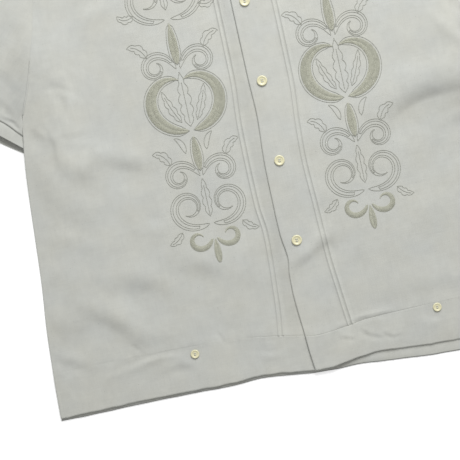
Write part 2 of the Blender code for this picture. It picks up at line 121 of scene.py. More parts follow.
class Profile:
    """A smooth curve through a table of (place, value) rows, read at many places at once."""

    def __init__(self, *rows: Point) -> None:
        """Keeps the rows and their slopes.

        Args:
            rows: place and value of each row, in the order of the places.
        """
        self.at, self.value = np.array(rows, float).T
        last = len(rows) - 1
        low = np.maximum(np.arange(last + 1) - 1, 0)
        high = np.minimum(np.arange(last + 1) + 1, last)
        self.slope = (self.value[high] - self.value[low]) / (self.at[high] - self.at[low])

    def __call__(self, at: Any) -> Array:
        """The value at each place; past the ends the end rows hold.

        Args:
            at: the places.

        Returns:
            The values.
        """
        at = np.clip(at, self.at[0], self.at[-1])
        i = np.clip(np.searchsorted(self.at, at, side="right") - 1, 0, len(self.at) - 2)
        span = self.at[i + 1] - self.at[i]
        share = (at - self.at[i]) / span
        rise = self.value[i + 1] - self.value[i]
        start = self.slope[i] * span - rise
        end = rise - self.slope[i + 1] * span
        bend = share * (1.0 - share) * (start * (1.0 - share) + end * share)
        return mix(self.value[i], self.value[i + 1], share) + bend


class Grain:
    """Smooth random heights over a plan, the same on every run."""

    def __init__(self, seed: int, size: float, count: int = 97) -> None:
        """Draws the heights.

        Args:
            seed: which drawing it is.
            size: distance between its highs and lows in millimetres.
            count: heights each way, before they repeat.
        """
        self.size, self.count = size, count
        self.heights = np.random.default_rng(seed).uniform(-1.0, 1.0, (count, count))

    def __call__(self, x: Array, y: Array) -> Array:
        """The height, from -1 to 1, at each place."""
        u, v = np.asarray(x) / self.size + 1000.0, np.asarray(y) / self.size + 1000.0
        i, j = np.floor(u).astype(int), np.floor(v).astype(int)
        s, t = smooth(u - i), smooth(v - j)
        i, j, k, m = i % self.count, j % self.count, (i + 1) % self.count, (j + 1) % self.count
        low = mix(self.heights[i, j], self.heights[k, j], s)
        return mix(low, mix(self.heights[i, m], self.heights[k, m], s), t)


@dataclass(frozen=True)
class Place:
    """Turns the shirt's plan to the frame's metres."""

    x: float
    y: float

    @classmethod
    def from_button(cls, node: str, at: Point) -> "Place":
        """Finds the plan's origin from a button whose place in the plan is known."""
        low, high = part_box(node)
        middle_x, middle_y = (low[0] + high[0]) / 2, (low[1] + high[1]) / 2
        return cls(middle_x / MM - at[0], middle_y / MM - at[1])

    def metres(self, points: Array) -> Array:
        """Points of the plan, with their heights, in the frame."""
        return (np.asarray(points, float) + (self.x, self.y, 0.0)) * MM


@dataclass(frozen=True)
class Crease:
    """A soft ridge, or a trough where its height is negative, along a bent line.

    With a tip it is also a ridge on the left of its path and a trough on the right.
    """

    path: tuple[Point, ...]
    height: float
    width: float
    tip: float = 0.0
    waver: float = 0.25

    def __call__(self, x: Array, y: Array) -> Array:
        """Its height at each place.

        Args:
            x: places across the shirt.
            y: places up the shirt.

        Returns:
            Heights, most in the middle of its length and 0 far from it.
        """
        knots = np.linspace(0.0, 1.0, len(self.path))
        line_x = Profile(*zip(knots, [p[0] for p in self.path]))
        line_y = Profile(*zip(knots, [p[1] for p in self.path]))
        steps = np.linspace(0.0, 1.0, 4 * len(self.path) + 1)
        px, py = line_x(steps), line_y(steps)
        best = np.full(np.shape(x), np.inf)
        side, share = np.zeros(np.shape(x)), np.zeros(np.shape(x))
        for k in range(len(steps) - 1):
            dx, dy = px[k + 1] - px[k], py[k + 1] - py[k]
            t = np.clip(((x - px[k]) * dx + (y - py[k]) * dy) / (dx * dx + dy * dy), 0.0, 1.0)
            ax, ay = x - px[k] - dx * t, y - py[k] - dy * t
            away = np.hypot(ax, ay)
            near = away < best
            best = np.where(near, away, best)
            side = np.where(near, (dx * ay - dy * ax) / math.hypot(dx, dy), side)
            share = np.where(near, mix(steps[k], steps[k + 1], t), share)
        swell = np.sin(math.pi * mix(0.04, 0.96, share)) ** 0.8
        swell = swell * (1.0 + self.waver * np.sin(9.0 * share + 2.0 * self.width))
        shape = self.height + self.tip * side / self.width
        return shape * swell * np.exp(-((best / self.width) ** 2))


@dataclass(frozen=True)
class Pattern:
    """The shirt's cut: its outlines in the plan, in millimetres."""

    neck_half: float = 78.0
    neck_y: float = 628.0
    front_drop: float = 75.0
    back_drop: float = 16.0
    shoulder_half: float = 215.0
    shoulder_y: float = 583.0
    armpit_y: float = 343.0
    level_from: float = 72.0
    underlap: float = 17.0
    back_seam: float = 33.0
    seam_gap: float = 0.3
    seam_end: float = 296.0
    tuck_spacing: float = 5.0
    calm_half: float = 10.0
    calm_spot: float = 4.0
    first_button: Point = (0.0, 145.2)
    hem_buttons: tuple[Point, ...] = ((-135.9, 46.6), (135.2, 40.4))
    hem_crossing: Point = (-271.0, 307.0)
    hem_angle: float = math.radians(139.5)
    hem_out: float = 138.0
    hem_in: float = 50.0
    side_seam: Profile = Profile(
        (0, 295.5), (52, 293.6), (105, 290.4), (158, 284.8),
        (211, 281), (262, 277.2), (306, 271.9), (343, 265),
    )
    armhole: Profile = Profile(
        (343, 265), (370, 254), (400, 244.5), (445, 232), (510, 220.5), (583, 215),
    )
    front_edge: Profile = Profile(
        (0, -10.2), (23, -12.5), (42, -13.6), (84, -16.4), (111, -15.9),
        (128, -13.7), (155, -16.6), (195, -17), (238, -16.6), (288, -13.6),
        (332, -14.5), (560, -15),
    )
    right_tucks: Profile = Profile(
        (40, -40.2), (71, -35.9), (100, -33.8), (132, -31.9), (163, -31.2),
        (191, -34), (280, -34), (335, -30.6), (560, -31),
    )
    left_tucks: Profile = Profile(
        (40, 38.3), (60, 36.3), (88, 33.7), (120, 31), (180, 29.1),
        (228, 27.4), (273, 29.1), (322, 32.5), (560, 31),
    )
    front_seam: Profile = Profile(
        (-296, 58), (-180, 57), (-99, 54.2), (-45, 47), (-15, 41.2),
        (0, 38.4), (37, 41.5), (55, 44.2), (136, 45.8), (296, 46),
    )
    front_hem: Profile = Profile(
        (-296, 8), (-180, 8.4), (-100, 6.2), (-69, 7.6), (-38, 4.5),
        (-10, 0.7), (6, 0.6), (43, 5.3), (64, 6.4), (97, 3.8), (151, 0.9),
        (296, 3.5),
    )
    back_hem: Profile = Profile(
        (-296, 5), (-180, 4.6), (-100, 3), (-70, 4.2), (-38, 0.9),
        (-8, -2.6), (18, -3.2), (41, -3.2), (94, -8.1), (147, -11.8), (205, -12.4),
        (296, -4),
    )

    def side_half(self, y: Any) -> Array:
        """Half the body's width at a height: the side seam, and above it the armhole."""
        return np.where(np.asarray(y) < self.armpit_y, self.side_seam(y), self.armhole(y))

    def top_y(self, x: Any, drop: float) -> Array:
        """The upper edge of a panel: its neckline, an arc of this drop, then the shoulder."""
        reach = np.abs(np.asarray(x, float))
        arc = np.sqrt(np.maximum(1.0 - (reach / self.neck_half) ** 2, 0.0))
        share = (reach - self.neck_half) / (self.shoulder_half - self.neck_half)
        shoulder = mix(self.neck_y, self.shoulder_y, share)
        return np.where(reach < self.neck_half, self.neck_y - drop * arc, shoulder)

    def row_y(self, side_y: Array, top: Array) -> Array:
        """A row's height: level up to the armpit, then fanning out to the top edge."""
        share = (side_y - self.armpit_y) / (self.shoulder_y - self.armpit_y)
        return np.where(side_y <= self.armpit_y, side_y, mix(self.armpit_y, top, share))

    def tucks(self, side: Side) -> Profile:
        """The middle line of the pair of tucks on one side."""
        return self.left_tucks if side is Side.LEFT else self.right_tucks

    def calm(self, x: Array, y: Array) -> Array:
        """How much of the creasing is left: little along the buttons and round the hem's two."""
        share = mix(0.6, 1.0, smooth((np.abs(x) - self.calm_half) / 14.0))
        for at_x, at_y in self.hem_buttons:
            share = share * smooth((np.hypot(x - at_x, y - at_y) - self.calm_spot) / 12.0)
        return share

    def edge(self, side: Side, y: Array) -> Array:
        """Where a front ends in the middle: its edge, or the underlap's."""
        return self.front_edge(y) if side is Side.LEFT else np.full(np.shape(y), self.underlap)


def steps(length: float, pitch: float, fine: Sequence[float] = (), both: bool = True) -> Array:
    """Places along a length, evenly spaced, closer together at its ends.

    Args:
        length: the whole length.
        pitch: spacing away from the ends.
        fine: distances from an end that have a place of their own.
        both: whether the far end is fine too.

    Returns:
        Shares of the length, from 0 to 1.
    """
    near = [0.0, *fine]
    far = [length - d for d in reversed(near)] if both else [length]
    count = max(round((far[0] - near[-1]) / pitch), 1)
    middle = [mix(near[-1], far[0], k / count) for k in range(1, count)]
    return np.array(near + middle + far) / length


class Underside:
    """Height of a node's lower side over the plan, with its facets smoothed away."""

    def __init__(self, place: Place, node: str, pitch: float = 4.0, passes: int = 9) -> None:
        """Measures the node from below.

        Args:
            place: turns the plan to the frame.
            node: the frame's node.
            pitch: spacing of the measured places in millimetres.
            passes: how often neighbours are averaged.
        """
        low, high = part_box(node)
        self.pitch = pitch
        self.corner = np.array((low[0] / MM - place.x, low[1] / MM - place.y)) - 2.0 * pitch
        count = [int((high[k] - low[k]) / MM / pitch) + 5 for k in range(2)]
        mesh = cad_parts[node].data
        tree = BVHTree.FromPolygons([v.co for v in mesh.vertices],
                                    [p.vertices for p in mesh.polygons])
        heights = np.full(count, np.nan)
        for i in range(count[0]):
            for j in range(count[1]):
                x, y = self.corner + (i * pitch, j * pitch)
                start = Vector(((x + place.x) * MM, (y + place.y) * MM, -1.0))
                hit = tree.ray_cast(start, Vector((0.0, 0.0, 1.0)))[0]
                if hit is not None:
                    heights[i, j] = hit.z / MM
        self.heights = self.spread(heights)
        for _ in range(passes):
            padded = np.pad(self.heights, 1, mode="edge")
            self.heights = (padded[:-2, 1:-1] + padded[2:, 1:-1] + padded[1:-1, :-2]
                            + padded[1:-1, 2:] + 2.0 * self.heights) / 6.0

    @staticmethod
    def spread(heights: Array) -> Array:
        """Carries the known heights outwards until every place has one.

        Args:
            heights: a grid of heights, not a number where unknown.

        Returns:
            The grid, filled.
        """
        while np.isnan(heights).any():
            padded = np.pad(heights, 1, constant_values=np.nan)
            around = np.stack([padded[:-2, 1:-1], padded[2:, 1:-1],
                               padded[1:-1, :-2], padded[1:-1, 2:]])
            known = ~np.isnan(around)
            total = np.where(known, around, 0.0).sum(0) / np.maximum(known.sum(0), 1)
            heights = np.where(np.isnan(heights) & known.any(0), total, heights)
        return heights

    def __call__(self, x: Array, y: Array) -> Array:
        """The height in millimetres at each place of the plan.

        Args:
            x: places across.
            y: places up.

        Returns:
            The heights.
        """
        u = (np.asarray(x) - self.corner[0]) / self.pitch
        v = (np.asarray(y) - self.corner[1]) / self.pitch
        u = np.clip(u, 0.0, self.heights.shape[0] - 1.001)
        v = np.clip(v, 0.0, self.heights.shape[1] - 1.001)
        i, j = u.astype(int), v.astype(int)
        low = mix(self.heights[i, j], self.heights[i + 1, j], u - i)
        return mix(low, mix(self.heights[i, j + 1], self.heights[i + 1, j + 1], u - i), v - j)


class Number:
    """A shader value that Python's operators can be used on."""

    def __init__(self, graph: "Graph", socket: NodeSocket) -> None:
        """Wraps an output socket of a node of the graph."""
        self.graph, self.socket = graph, socket

    def math(self, operation: str, *values: Any) -> "Number":
        """Adds a Math node on values, of which this may be one."""
        made = self.graph.node("ShaderNodeMath", {"operation": operation}, dict(enumerate(values)))
        return Number(self.graph, made.outputs[0])

    def __add__(self, other: Any) -> "Number":
        """Their sum."""
        return self.math("ADD", self, other)

    def __sub__(self, other: Any) -> "Number":
        """Their difference."""
        return self.math("SUBTRACT", self, other)

    def __rsub__(self, other: Any) -> "Number":
        """Their difference, the other way."""
        return self.math("SUBTRACT", other, self)

    def __mul__(self, other: Any) -> "Number":
        """Their product."""
        return self.math("MULTIPLY", self, other)

    __radd__, __rmul__ = __add__, __mul__

    def sine(self) -> "Number":
        """Its sine."""
        return self.math("SINE", self)


class Graph:
    """A node tree that is filled by code."""

    def __init__(self, tree: NodeTree) -> None:
        """Starts on an empty node tree."""
        self.tree = tree

    def node(self, kind: str, settings: Optional[dict[str, Any]] = None,
             values: Optional[dict[Union[int, str], Any]] = None) -> Node:
        """Adds a node.

        Args:
            kind: its type.
            settings: its own properties, which are set first.
            values: a value, a Number or a socket for each input, by its place or name.

        Returns:
            The node.
        """
        made = self.tree.nodes.new(kind)
        for name, value in (settings or {}).items():
            setattr(made, name, value)
        for key, value in (values or {}).items():
            if isinstance(value, Number):
                value = value.socket
            if isinstance(value, NodeSocket):
                self.tree.links.new(value, made.inputs[key])
            else:
                made.inputs[key].default_value = value
        return made


class Shader(Graph):
    """The node tree of a material, on the piece's own coordinates in metres."""

    def __init__(self, name: str) -> None:
        """Makes a material with nothing but its output.

        Args:
            name: the material's name.
        """
        self.material = bpy.data.materials.new(name)
        self.material.use_nodes = True
        self.material.node_tree.nodes.clear()
        super().__init__(self.material.node_tree)
        self.coordinates = self.node("ShaderNodeTexCoord").outputs["Object"]

    def mapped(self, scale: Sequence[float], turn: float = 0.0,
               shift: Sequence[float] = (0.0, 0.0, 0.0)) -> NodeSocket:
        """The coordinates, turned about z and then scaled along each axis."""
        turned = self.node("ShaderNodeMapping", {"vector_type": "POINT"},
                           {"Vector": self.coordinates, "Rotation": (0.0, 0.0, turn),
                            "Location": tuple(shift)}).outputs[0]
        return self.node("ShaderNodeMapping", {"vector_type": "POINT"},
                         {"Vector": turned, "Scale": tuple(scale)}).outputs[0]

    def noise(self, vector: NodeSocket, detail: float = 2.0, roughness: float = 0.5) -> Number:
        """Noise of scale 1 on a vector, from 0 to 1."""
        made = self.node("ShaderNodeTexNoise", {"noise_dimensions": "3D"},
                         {"Vector": vector, "Scale": 1.0, "Detail": detail, "Roughness": roughness})
        return Number(self, made.outputs["Fac"])

    def split(self, vector: NodeSocket) -> tuple[Number, Number, Number]:
        """A vector's three parts."""
        made = self.node("ShaderNodeSeparateXYZ", None, {0: vector})
        return tuple(Number(self, made.outputs[k]) for k in range(3))

    def blend(self, share: Any, first: Any, second: Any) -> NodeSocket:
        """A mix of two colours."""
        made = self.node("ShaderNodeMix", {"data_type": "RGBA", "clamp_factor": True},
                         {0: share, 6: first, 7: second})
        return made.outputs[2]

    def scaled(self, colour: NodeSocket, by: Number) -> NodeSocket:
        """A colour made lighter or darker."""
        made = self.node("ShaderNodeVectorMath", {"operation": "SCALE"}, {0: colour, "Scale": by})
        return made.outputs[0]

    def finish(self, colour: Any, roughness: Any, height: Optional[Number] = None,
               depth: float = 0.0002, strength: float = 0.6, **constants: float) -> Material:
        """Adds the shader and its output.

        Args:
            colour: the base colour.
            roughness: the roughness.
            height: a relief from 0 to 1 for the bump.
            depth: the relief's depth in metres.
            strength: how much the bump counts.
            constants: other sockets of the shader, with underscores for spaces.

        Returns:
            The material.
        """
        values = {"Base Color": colour, "Roughness": roughness}
        if height is not None:
            values["Normal"] = self.node("ShaderNodeBump", None, {
                "Strength": strength, "Distance": depth, "Height": height}).outputs[0]
        values |= {name.replace("_", " "): value for name, value in constants.items()}
        made = self.node("ShaderNodeBsdfPrincipled", None, values)
        self.node("ShaderNodeOutputMaterial", None, {0: made.outputs[0]})
        return self.material


@dataclass(frozen=True)
class LinenFinish:
    """Plain-woven pale grey linen: uneven yarns both ways, a soft mottle, a dry face and the
    painted shade written to the cloth's points.
    """

    name: str
    turn: float = 0.0
    cool: Colour = (0.477, 0.487, 0.459, 1.0)
    warm: Colour = (0.490, 0.492, 0.447, 1.0)
    yarn_pitch: float = 0.00078
    slub_length: float = 0.026
    slub_width: float = 0.0013
    mottle_size: float = 0.024
    blotch_scale: float = 130.0
    knot_scale: tuple[float, float, float] = (700.0, 700.0, 90.0)
    knot_gain: float = 4.0
    knot_floor: float = 2.96
    lightness: float = 0.778
    mottle_share: float = 0.13
    blotch_share: float = 0.155
    yarn_share: float = 0.09
    fleck_share: float = 0.04
    weave_share: float = 0.02
    roughness: float = 0.8
    relief: float = 0.00022

    def build(self) -> Material:
        """Makes the material."""
        s = Shader(self.name)
        length, width = 1.0 / self.slub_length, 1.0 / self.slub_width
        warp = s.noise(s.mapped((width, length, 40.0), self.turn), 3.0, 0.6)
        weft = s.noise(s.mapped((length, width, 40.0), self.turn, (0.3, 0.1, 0.0)), 3.0, 0.6)
        patch = 1.0 / self.mottle_size
        mottle = s.noise(s.mapped((patch, patch, patch), self.turn), 4.0, 0.55)
        cast = s.noise(s.mapped((patch * 0.6, patch * 0.6, patch), self.turn, (1.0, 2.0, 0.0)), 2.0)
        fleck = s.noise(s.mapped((900.0, 900.0, 900.0)), 1.0)
        wave = 2.0 * math.pi / self.yarn_pitch
        across, up, _ = s.split(s.mapped((wave, wave, 1.0), self.turn))
        weave = across.sine() * up.sine()
        spots = (self.blotch_scale,) * 3
        blotch = s.noise(s.mapped(spots, self.turn, (4.0, 1.0, 2.0)), 3.0, 0.6)
        slub = s.noise(s.mapped(self.knot_scale), 1.0)
        knot = slub.math("MAXIMUM", slub * self.knot_gain - self.knot_floor, 0.0)
        # Painted shade, and one patch of painted light, written to each point of the cloth and
        # added to its lightness.
        painted_shade = s.node("ShaderNodeAttribute", {"attribute_name": PAINTED_SHADE_ATTRIBUTE}).outputs["Fac"]
        tone = (self.lightness + mottle * self.mottle_share + blotch * self.blotch_share
                + warp * self.yarn_share + weft * self.yarn_share + fleck * self.fleck_share
                + weave * self.weave_share + Number(s, painted_shade) - knot)
        colour = s.scaled(s.blend(cast * 2.4 - 0.7, self.cool, self.warm), tone)
        height = weave * 0.22 + warp * 0.5 + weft * 0.55 + fleck * 0.15
        return s.finish(colour, self.roughness + fleck * 0.16, height, self.relief, 0.7,
                        Sheen_Weight=0.12, Sheen_Roughness=0.6, Specular_IOR_Level=0.25)


@dataclass(frozen=True)
class ThreadFinish:
    """Embroidery or sewing thread: twisted, with a low sheen along each stitch."""

    name: str
    dark: Colour
    light: Colour
    roughness: float = 0.5
    sheen: float = 0.15
    shade_scale: float = 260.0
    ply_scale: float = 3200.0

    def build(self) -> Material:
        """Makes the material."""
        s = Shader(self.name)
        shade = s.noise(s.mapped((self.shade_scale,) * 3), 3.0, 0.7)
        ply = s.noise(s.mapped((self.ply_scale,) * 3), 1.0)
        colour = s.blend(shade * 1.7 - 0.35, self.dark, self.light)
        return s.finish(colour, self.roughness + ply * 0.12, ply, 0.00008, 0.5,
                        Sheen_Weight=self.sheen, Specular_IOR_Level=0.4)


@dataclass(frozen=True)
class ButtonFinish:
    """Polished cream shell-like button, clouded and veined."""

    name: str = "button_cream"
    dark: Colour = (0.57, 0.53, 0.33, 1.0)
    light: Colour = (0.76, 0.73, 0.50, 1.0)
    roughness: float = 0.28
    coat: float = 0.25
    coat_roughness: float = 0.2

    def build(self) -> Material:
        """Makes the material."""
        s = Shader(self.name)
        cloud = s.noise(s.mapped((330.0, 700.0, 330.0), 0.5), 3.0, 0.6)
        vein = s.noise(s.mapped((1500.0, 500.0, 900.0), 0.8), 2.0)
        colour = s.blend(cloud * 1.5 - 0.2 + vein * 0.2, self.dark, self.light)
        return s.finish(colour, self.roughness + vein * 0.16, vein, 0.00002, 0.3,
                        Coat_Weight=self.coat, Coat_Roughness=self.coat_roughness)


@dataclass(frozen=True)
class FloorFinish:
    """The plain white surface that the shirt is laid on, lit from behind as a light table is."""

    colour: Colour = (0.95, 0.95, 0.95, 1.0)
    glow: float = 0.4

    def build(self) -> Material:
        """Makes the material."""
        s = Shader("floor_white")
        return s.finish(self.colour, 0.9, None, Specular_IOR_Level=0.1,
                        Emission_Color=self.colour, Emission_Strength=self.glow)


def add_object(name: str, data: ID) -> Object:
    """Puts a new object in the scene."""
    made = bpy.data.objects.new(name, data)
    bpy.context.scene.collection.objects.link(made)
    return made


def bake(piece: Object) -> None:
    """Makes a piece's modifiers part of its mesh."""
    graph = bpy.context.evaluated_depsgraph_get()
    baked = bpy.data.meshes.new_from_object(piece.evaluated_get(graph))
    piece.modifiers.clear()
    piece.data = baked


def outward(piece: Object) -> None:
    """Turns a closed piece's faces so that they point out."""
    work = bmesh.new()
    work.from_mesh(piece.data)
    bmesh.ops.recalc_face_normals(work, faces=work.faces)
    work.to_mesh(piece.data)
    work.free()


def add_mesh(name: str, place: Place, points: Array, faces: Iterable[Sequence[int]],
             material: Material, sharp: float = 50.0) -> Object:
    """Makes a closed piece from points of the plan.

    Args:
        name: the piece's name.
        place: turns the plan to the frame.
        points: the points, in millimetres.
        faces: each face's points, in order round it.
        material: its finish.
        sharp: the angle in degrees past which an edge stays sharp.

    Returns:
        The piece, at the origin, with its faces outwards.
    """
    mesh = bpy.data.meshes.new(name)
    mesh.from_pydata(place.metres(points).tolist(), [], list(faces))
    mesh.materials.append(material)
    mesh.shade_smooth()
    mesh.set_sharp_from_angle(angle=math.radians(sharp))
    piece = add_object(name, mesh)
    outward(piece)
    return piece


def grid_faces(rows: int, columns: int, ring: bool, first: int = 0,
               flip: bool = False) -> list[tuple[int, ...]]:
    """Faces of a grid of points.

    Args:
        rows: how many rows of points it has.
        columns: how many points a row has.
        ring: whether each row closes on itself.
        first: the number of its first point.
        flip: whether its faces point the other way.

    Returns:
        Each face's points.
    """
    faces = []
    for r in range(rows - 1):
        for c in range(columns if ring else columns - 1):
            a, b = first + r * columns + c, first + r * columns + (c + 1) % columns
            face = (a, b, b + columns, a + columns)
            faces.append(face[::-1] if flip else face)
    return faces


def shell_faces(rows: int, columns: int, ring: bool) -> list[tuple[int, ...]]:
    """Faces of a wall between an outer grid of points and, after it, an inner one.

    Args:
        rows: how many rows of points each grid has.
        columns: how many points a row has.
        ring: whether each row closes on itself.

    Returns:
        Each face's points.
    """
    count = rows * columns
    faces = grid_faces(rows, columns, ring) + grid_faces(rows, columns, ring, count, True)
    if ring:
        rims = [list(range(columns)), [count - 1 - c for c in range(columns)]]
    else:
        rim = list(range(columns))
        rim += [r * columns + columns - 1 for r in range(1, rows)]
        rim += [count - 2 - c for c in range(columns - 1)]
        rims = [rim + [r * columns for r in range(rows - 2, 0, -1)]]
    for rim in rims:
        for a, b in zip(rim, rim[1:] + rim[:1]):
            faces.append((b, a, a + count, b + count))
    return faces


def normals(grid: Array, ring: bool) -> Array:
    """Unit normals of a grid of points, rows by columns by 3.

    Args:
        grid: the points.
        ring: whether each row closes on itself.

    Returns:
        A direction for each point.
    """
    down = np.gradient(grid, axis=0)
    if ring:
        across = (np.roll(grid, -1, axis=1) - np.roll(grid, 1, axis=1)) / 2
    else:
        across = np.gradient(grid, axis=1)
    out = np.cross(across, down)
    return out / np.maximum(np.linalg.norm(out, axis=2, keepdims=True), 1e-9)


@dataclass(frozen=True)
class Cut:
    """What a piece of cloth was cut to, in metres."""

    width: float
    length: float
    area: float


@dataclass(frozen=True)
class Patch:
    """A soft spot of the plan, strongest in its middle."""

    x: float
    y: float
    wide: float
    high: float
    value: float

    def __call__(self, x: Array, y: Array) -> Array:
        """Its value at each place, which fades to 0 away from its middle."""
        across, up = (x - self.x) / self.wide, (y - self.y) / self.high
        return self.value * np.exp(-(across ** 2) - up ** 2)


@dataclass(frozen=True)
class Tone:
    """Painted shading: soft patches painted darker where the cloth lies in shade, one lighter; the
    front's strip and a hem's rim.
    """

    # Painted shade where folds and the sleeve lie in shade; the one positive patch paints the cloth
    # a little lighter.
    shading_patches: tuple[Patch, ...] = (
        Patch(-290, 366, 44, 52, -0.140),
        Patch(-266, 345, 11, 9, -0.050),
        Patch(-250, 292, 26, 30, -0.012),
        Patch(284, 374, 40, 46, -0.040),
        Patch(-262, 96, 42, 24, -0.020),
        Patch(180, 268, 64, 36, -0.090),
        Patch(206, 238, 44, 28, -0.050),
        Patch(-70, 18, 95, 24, 0.030),
        Patch(-215, 400, 70, 60, -0.014),
        Patch(150, 150, 70, 60, -0.012),
    )
    # The strip of painted shade beside the right front's tucks: its place, width, fade and
    # darkness.
    strip_x: float = -23.5
    strip_half: float = 6.2
    strip_fade: float = 4.0
    strip_from: float = 30.0
    strip_shade: float = -0.062
    # The painted shade of a hem's rim: how far it reaches and how dark it is.
    rim_depth: float = 2.0
    rim_shade: float = -0.7

    def __call__(self, x: Array, y: Array) -> Array:
        """The painted shading added to the cloth's lightness at each place."""
        tone = np.zeros(np.shape(x))
        for patch in self.shading_patches:
            tone = tone + patch(x, y)
        return tone

    def strip(self, x: Array, y: Array) -> Array:
        """Painted shade: a dimmer strip between the right front's tucks and the edge that lies over
        it and shades it.
        """
        inside = self.strip_half + self.strip_fade / 2 - np.abs(x - self.strip_x)
        return (self.strip_shade * smooth((y - self.strip_from) / self.strip_from)
                * smooth(inside / self.strip_fade))

    def rim(self, to_hem: Array) -> Array:
        """Painted shade on a hem's lower rim, where it turns under into shadow, at distances from
        the hem.
        """
        return self.rim_shade * smooth(1.0 - to_hem / self.rim_depth)


@dataclass
class Cloth:
    """What the pieces of cloth share: where they lie and how they are dressed."""

    place: Place
    pattern: Pattern
    finish: Material
    tone: Tone = Tone()
    edges: tuple[float, ...] = (0.12, 0.35, 0.7, 1.2, 1.9)
    pitch: float = 2.3

    def __post_init__(self) -> None:
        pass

    def add_sheet(self, name: str, grid: Array, thickness: Any, tone: Any = 0.0) -> Object:
        """Makes a sheet of cloth whose upper side is a grid of points.

        Args:
            name: the piece's name.
            grid: the upper side, rows by columns by 3, in millimetres.
            thickness: its thickness in millimetres, everywhere or at each point.
            tone: the painted shade added to its lightness, everywhere or at each point.

        Returns:
            The piece.
        """
        rows, columns = grid.shape[:2]
        inner = grid.copy()
        inner[:, :, 2] -= thickness
        points = np.concatenate([grid.reshape(-1, 3), inner.reshape(-1, 3)])
        piece = add_mesh(name, self.place, points, shell_faces(rows, columns, False), self.finish)
        self.shade(piece, np.tile(np.broadcast_to(tone, (rows, columns)).reshape(-1), 2))
        return piece

    def shade(self, piece: Object, more: Any = 0.0) -> None:
        """Writes the cloth's painted shade, and the more painted shade given for it, to each of its
        points.

        Args:
            piece: the piece.
            more: the painted shade added for it, everywhere or at each point.
        """
        places = np.empty(3 * len(piece.data.vertices), np.float32)
        piece.data.vertices.foreach_get("co", places)
        places = places.reshape(-1, 3) / MM
        x, y = places[:, 0] - self.place.x, places[:, 1] - self.place.y
        tone = self.tone(x, y) + more
        kept = piece.data.attributes.new(PAINTED_SHADE_ATTRIBUTE, "FLOAT", "POINT")
        kept.data.foreach_set("value", tone.astype(np.float32))

    def declare(self, piece: Object, cut: Cut, *nodes: str,
                rests_on: Sequence[str] = ()) -> None:
        """Tells the frame what a piece of cloth is and what it replaces.

        Args:
            piece: the piece.
            cut: not used.
            nodes: the solids it stands for.
            rests_on: not used.
        """
        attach(piece, "root")
        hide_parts(*nodes)
        log.info("%s: %d faces", piece.name, len(piece.data.polygons))


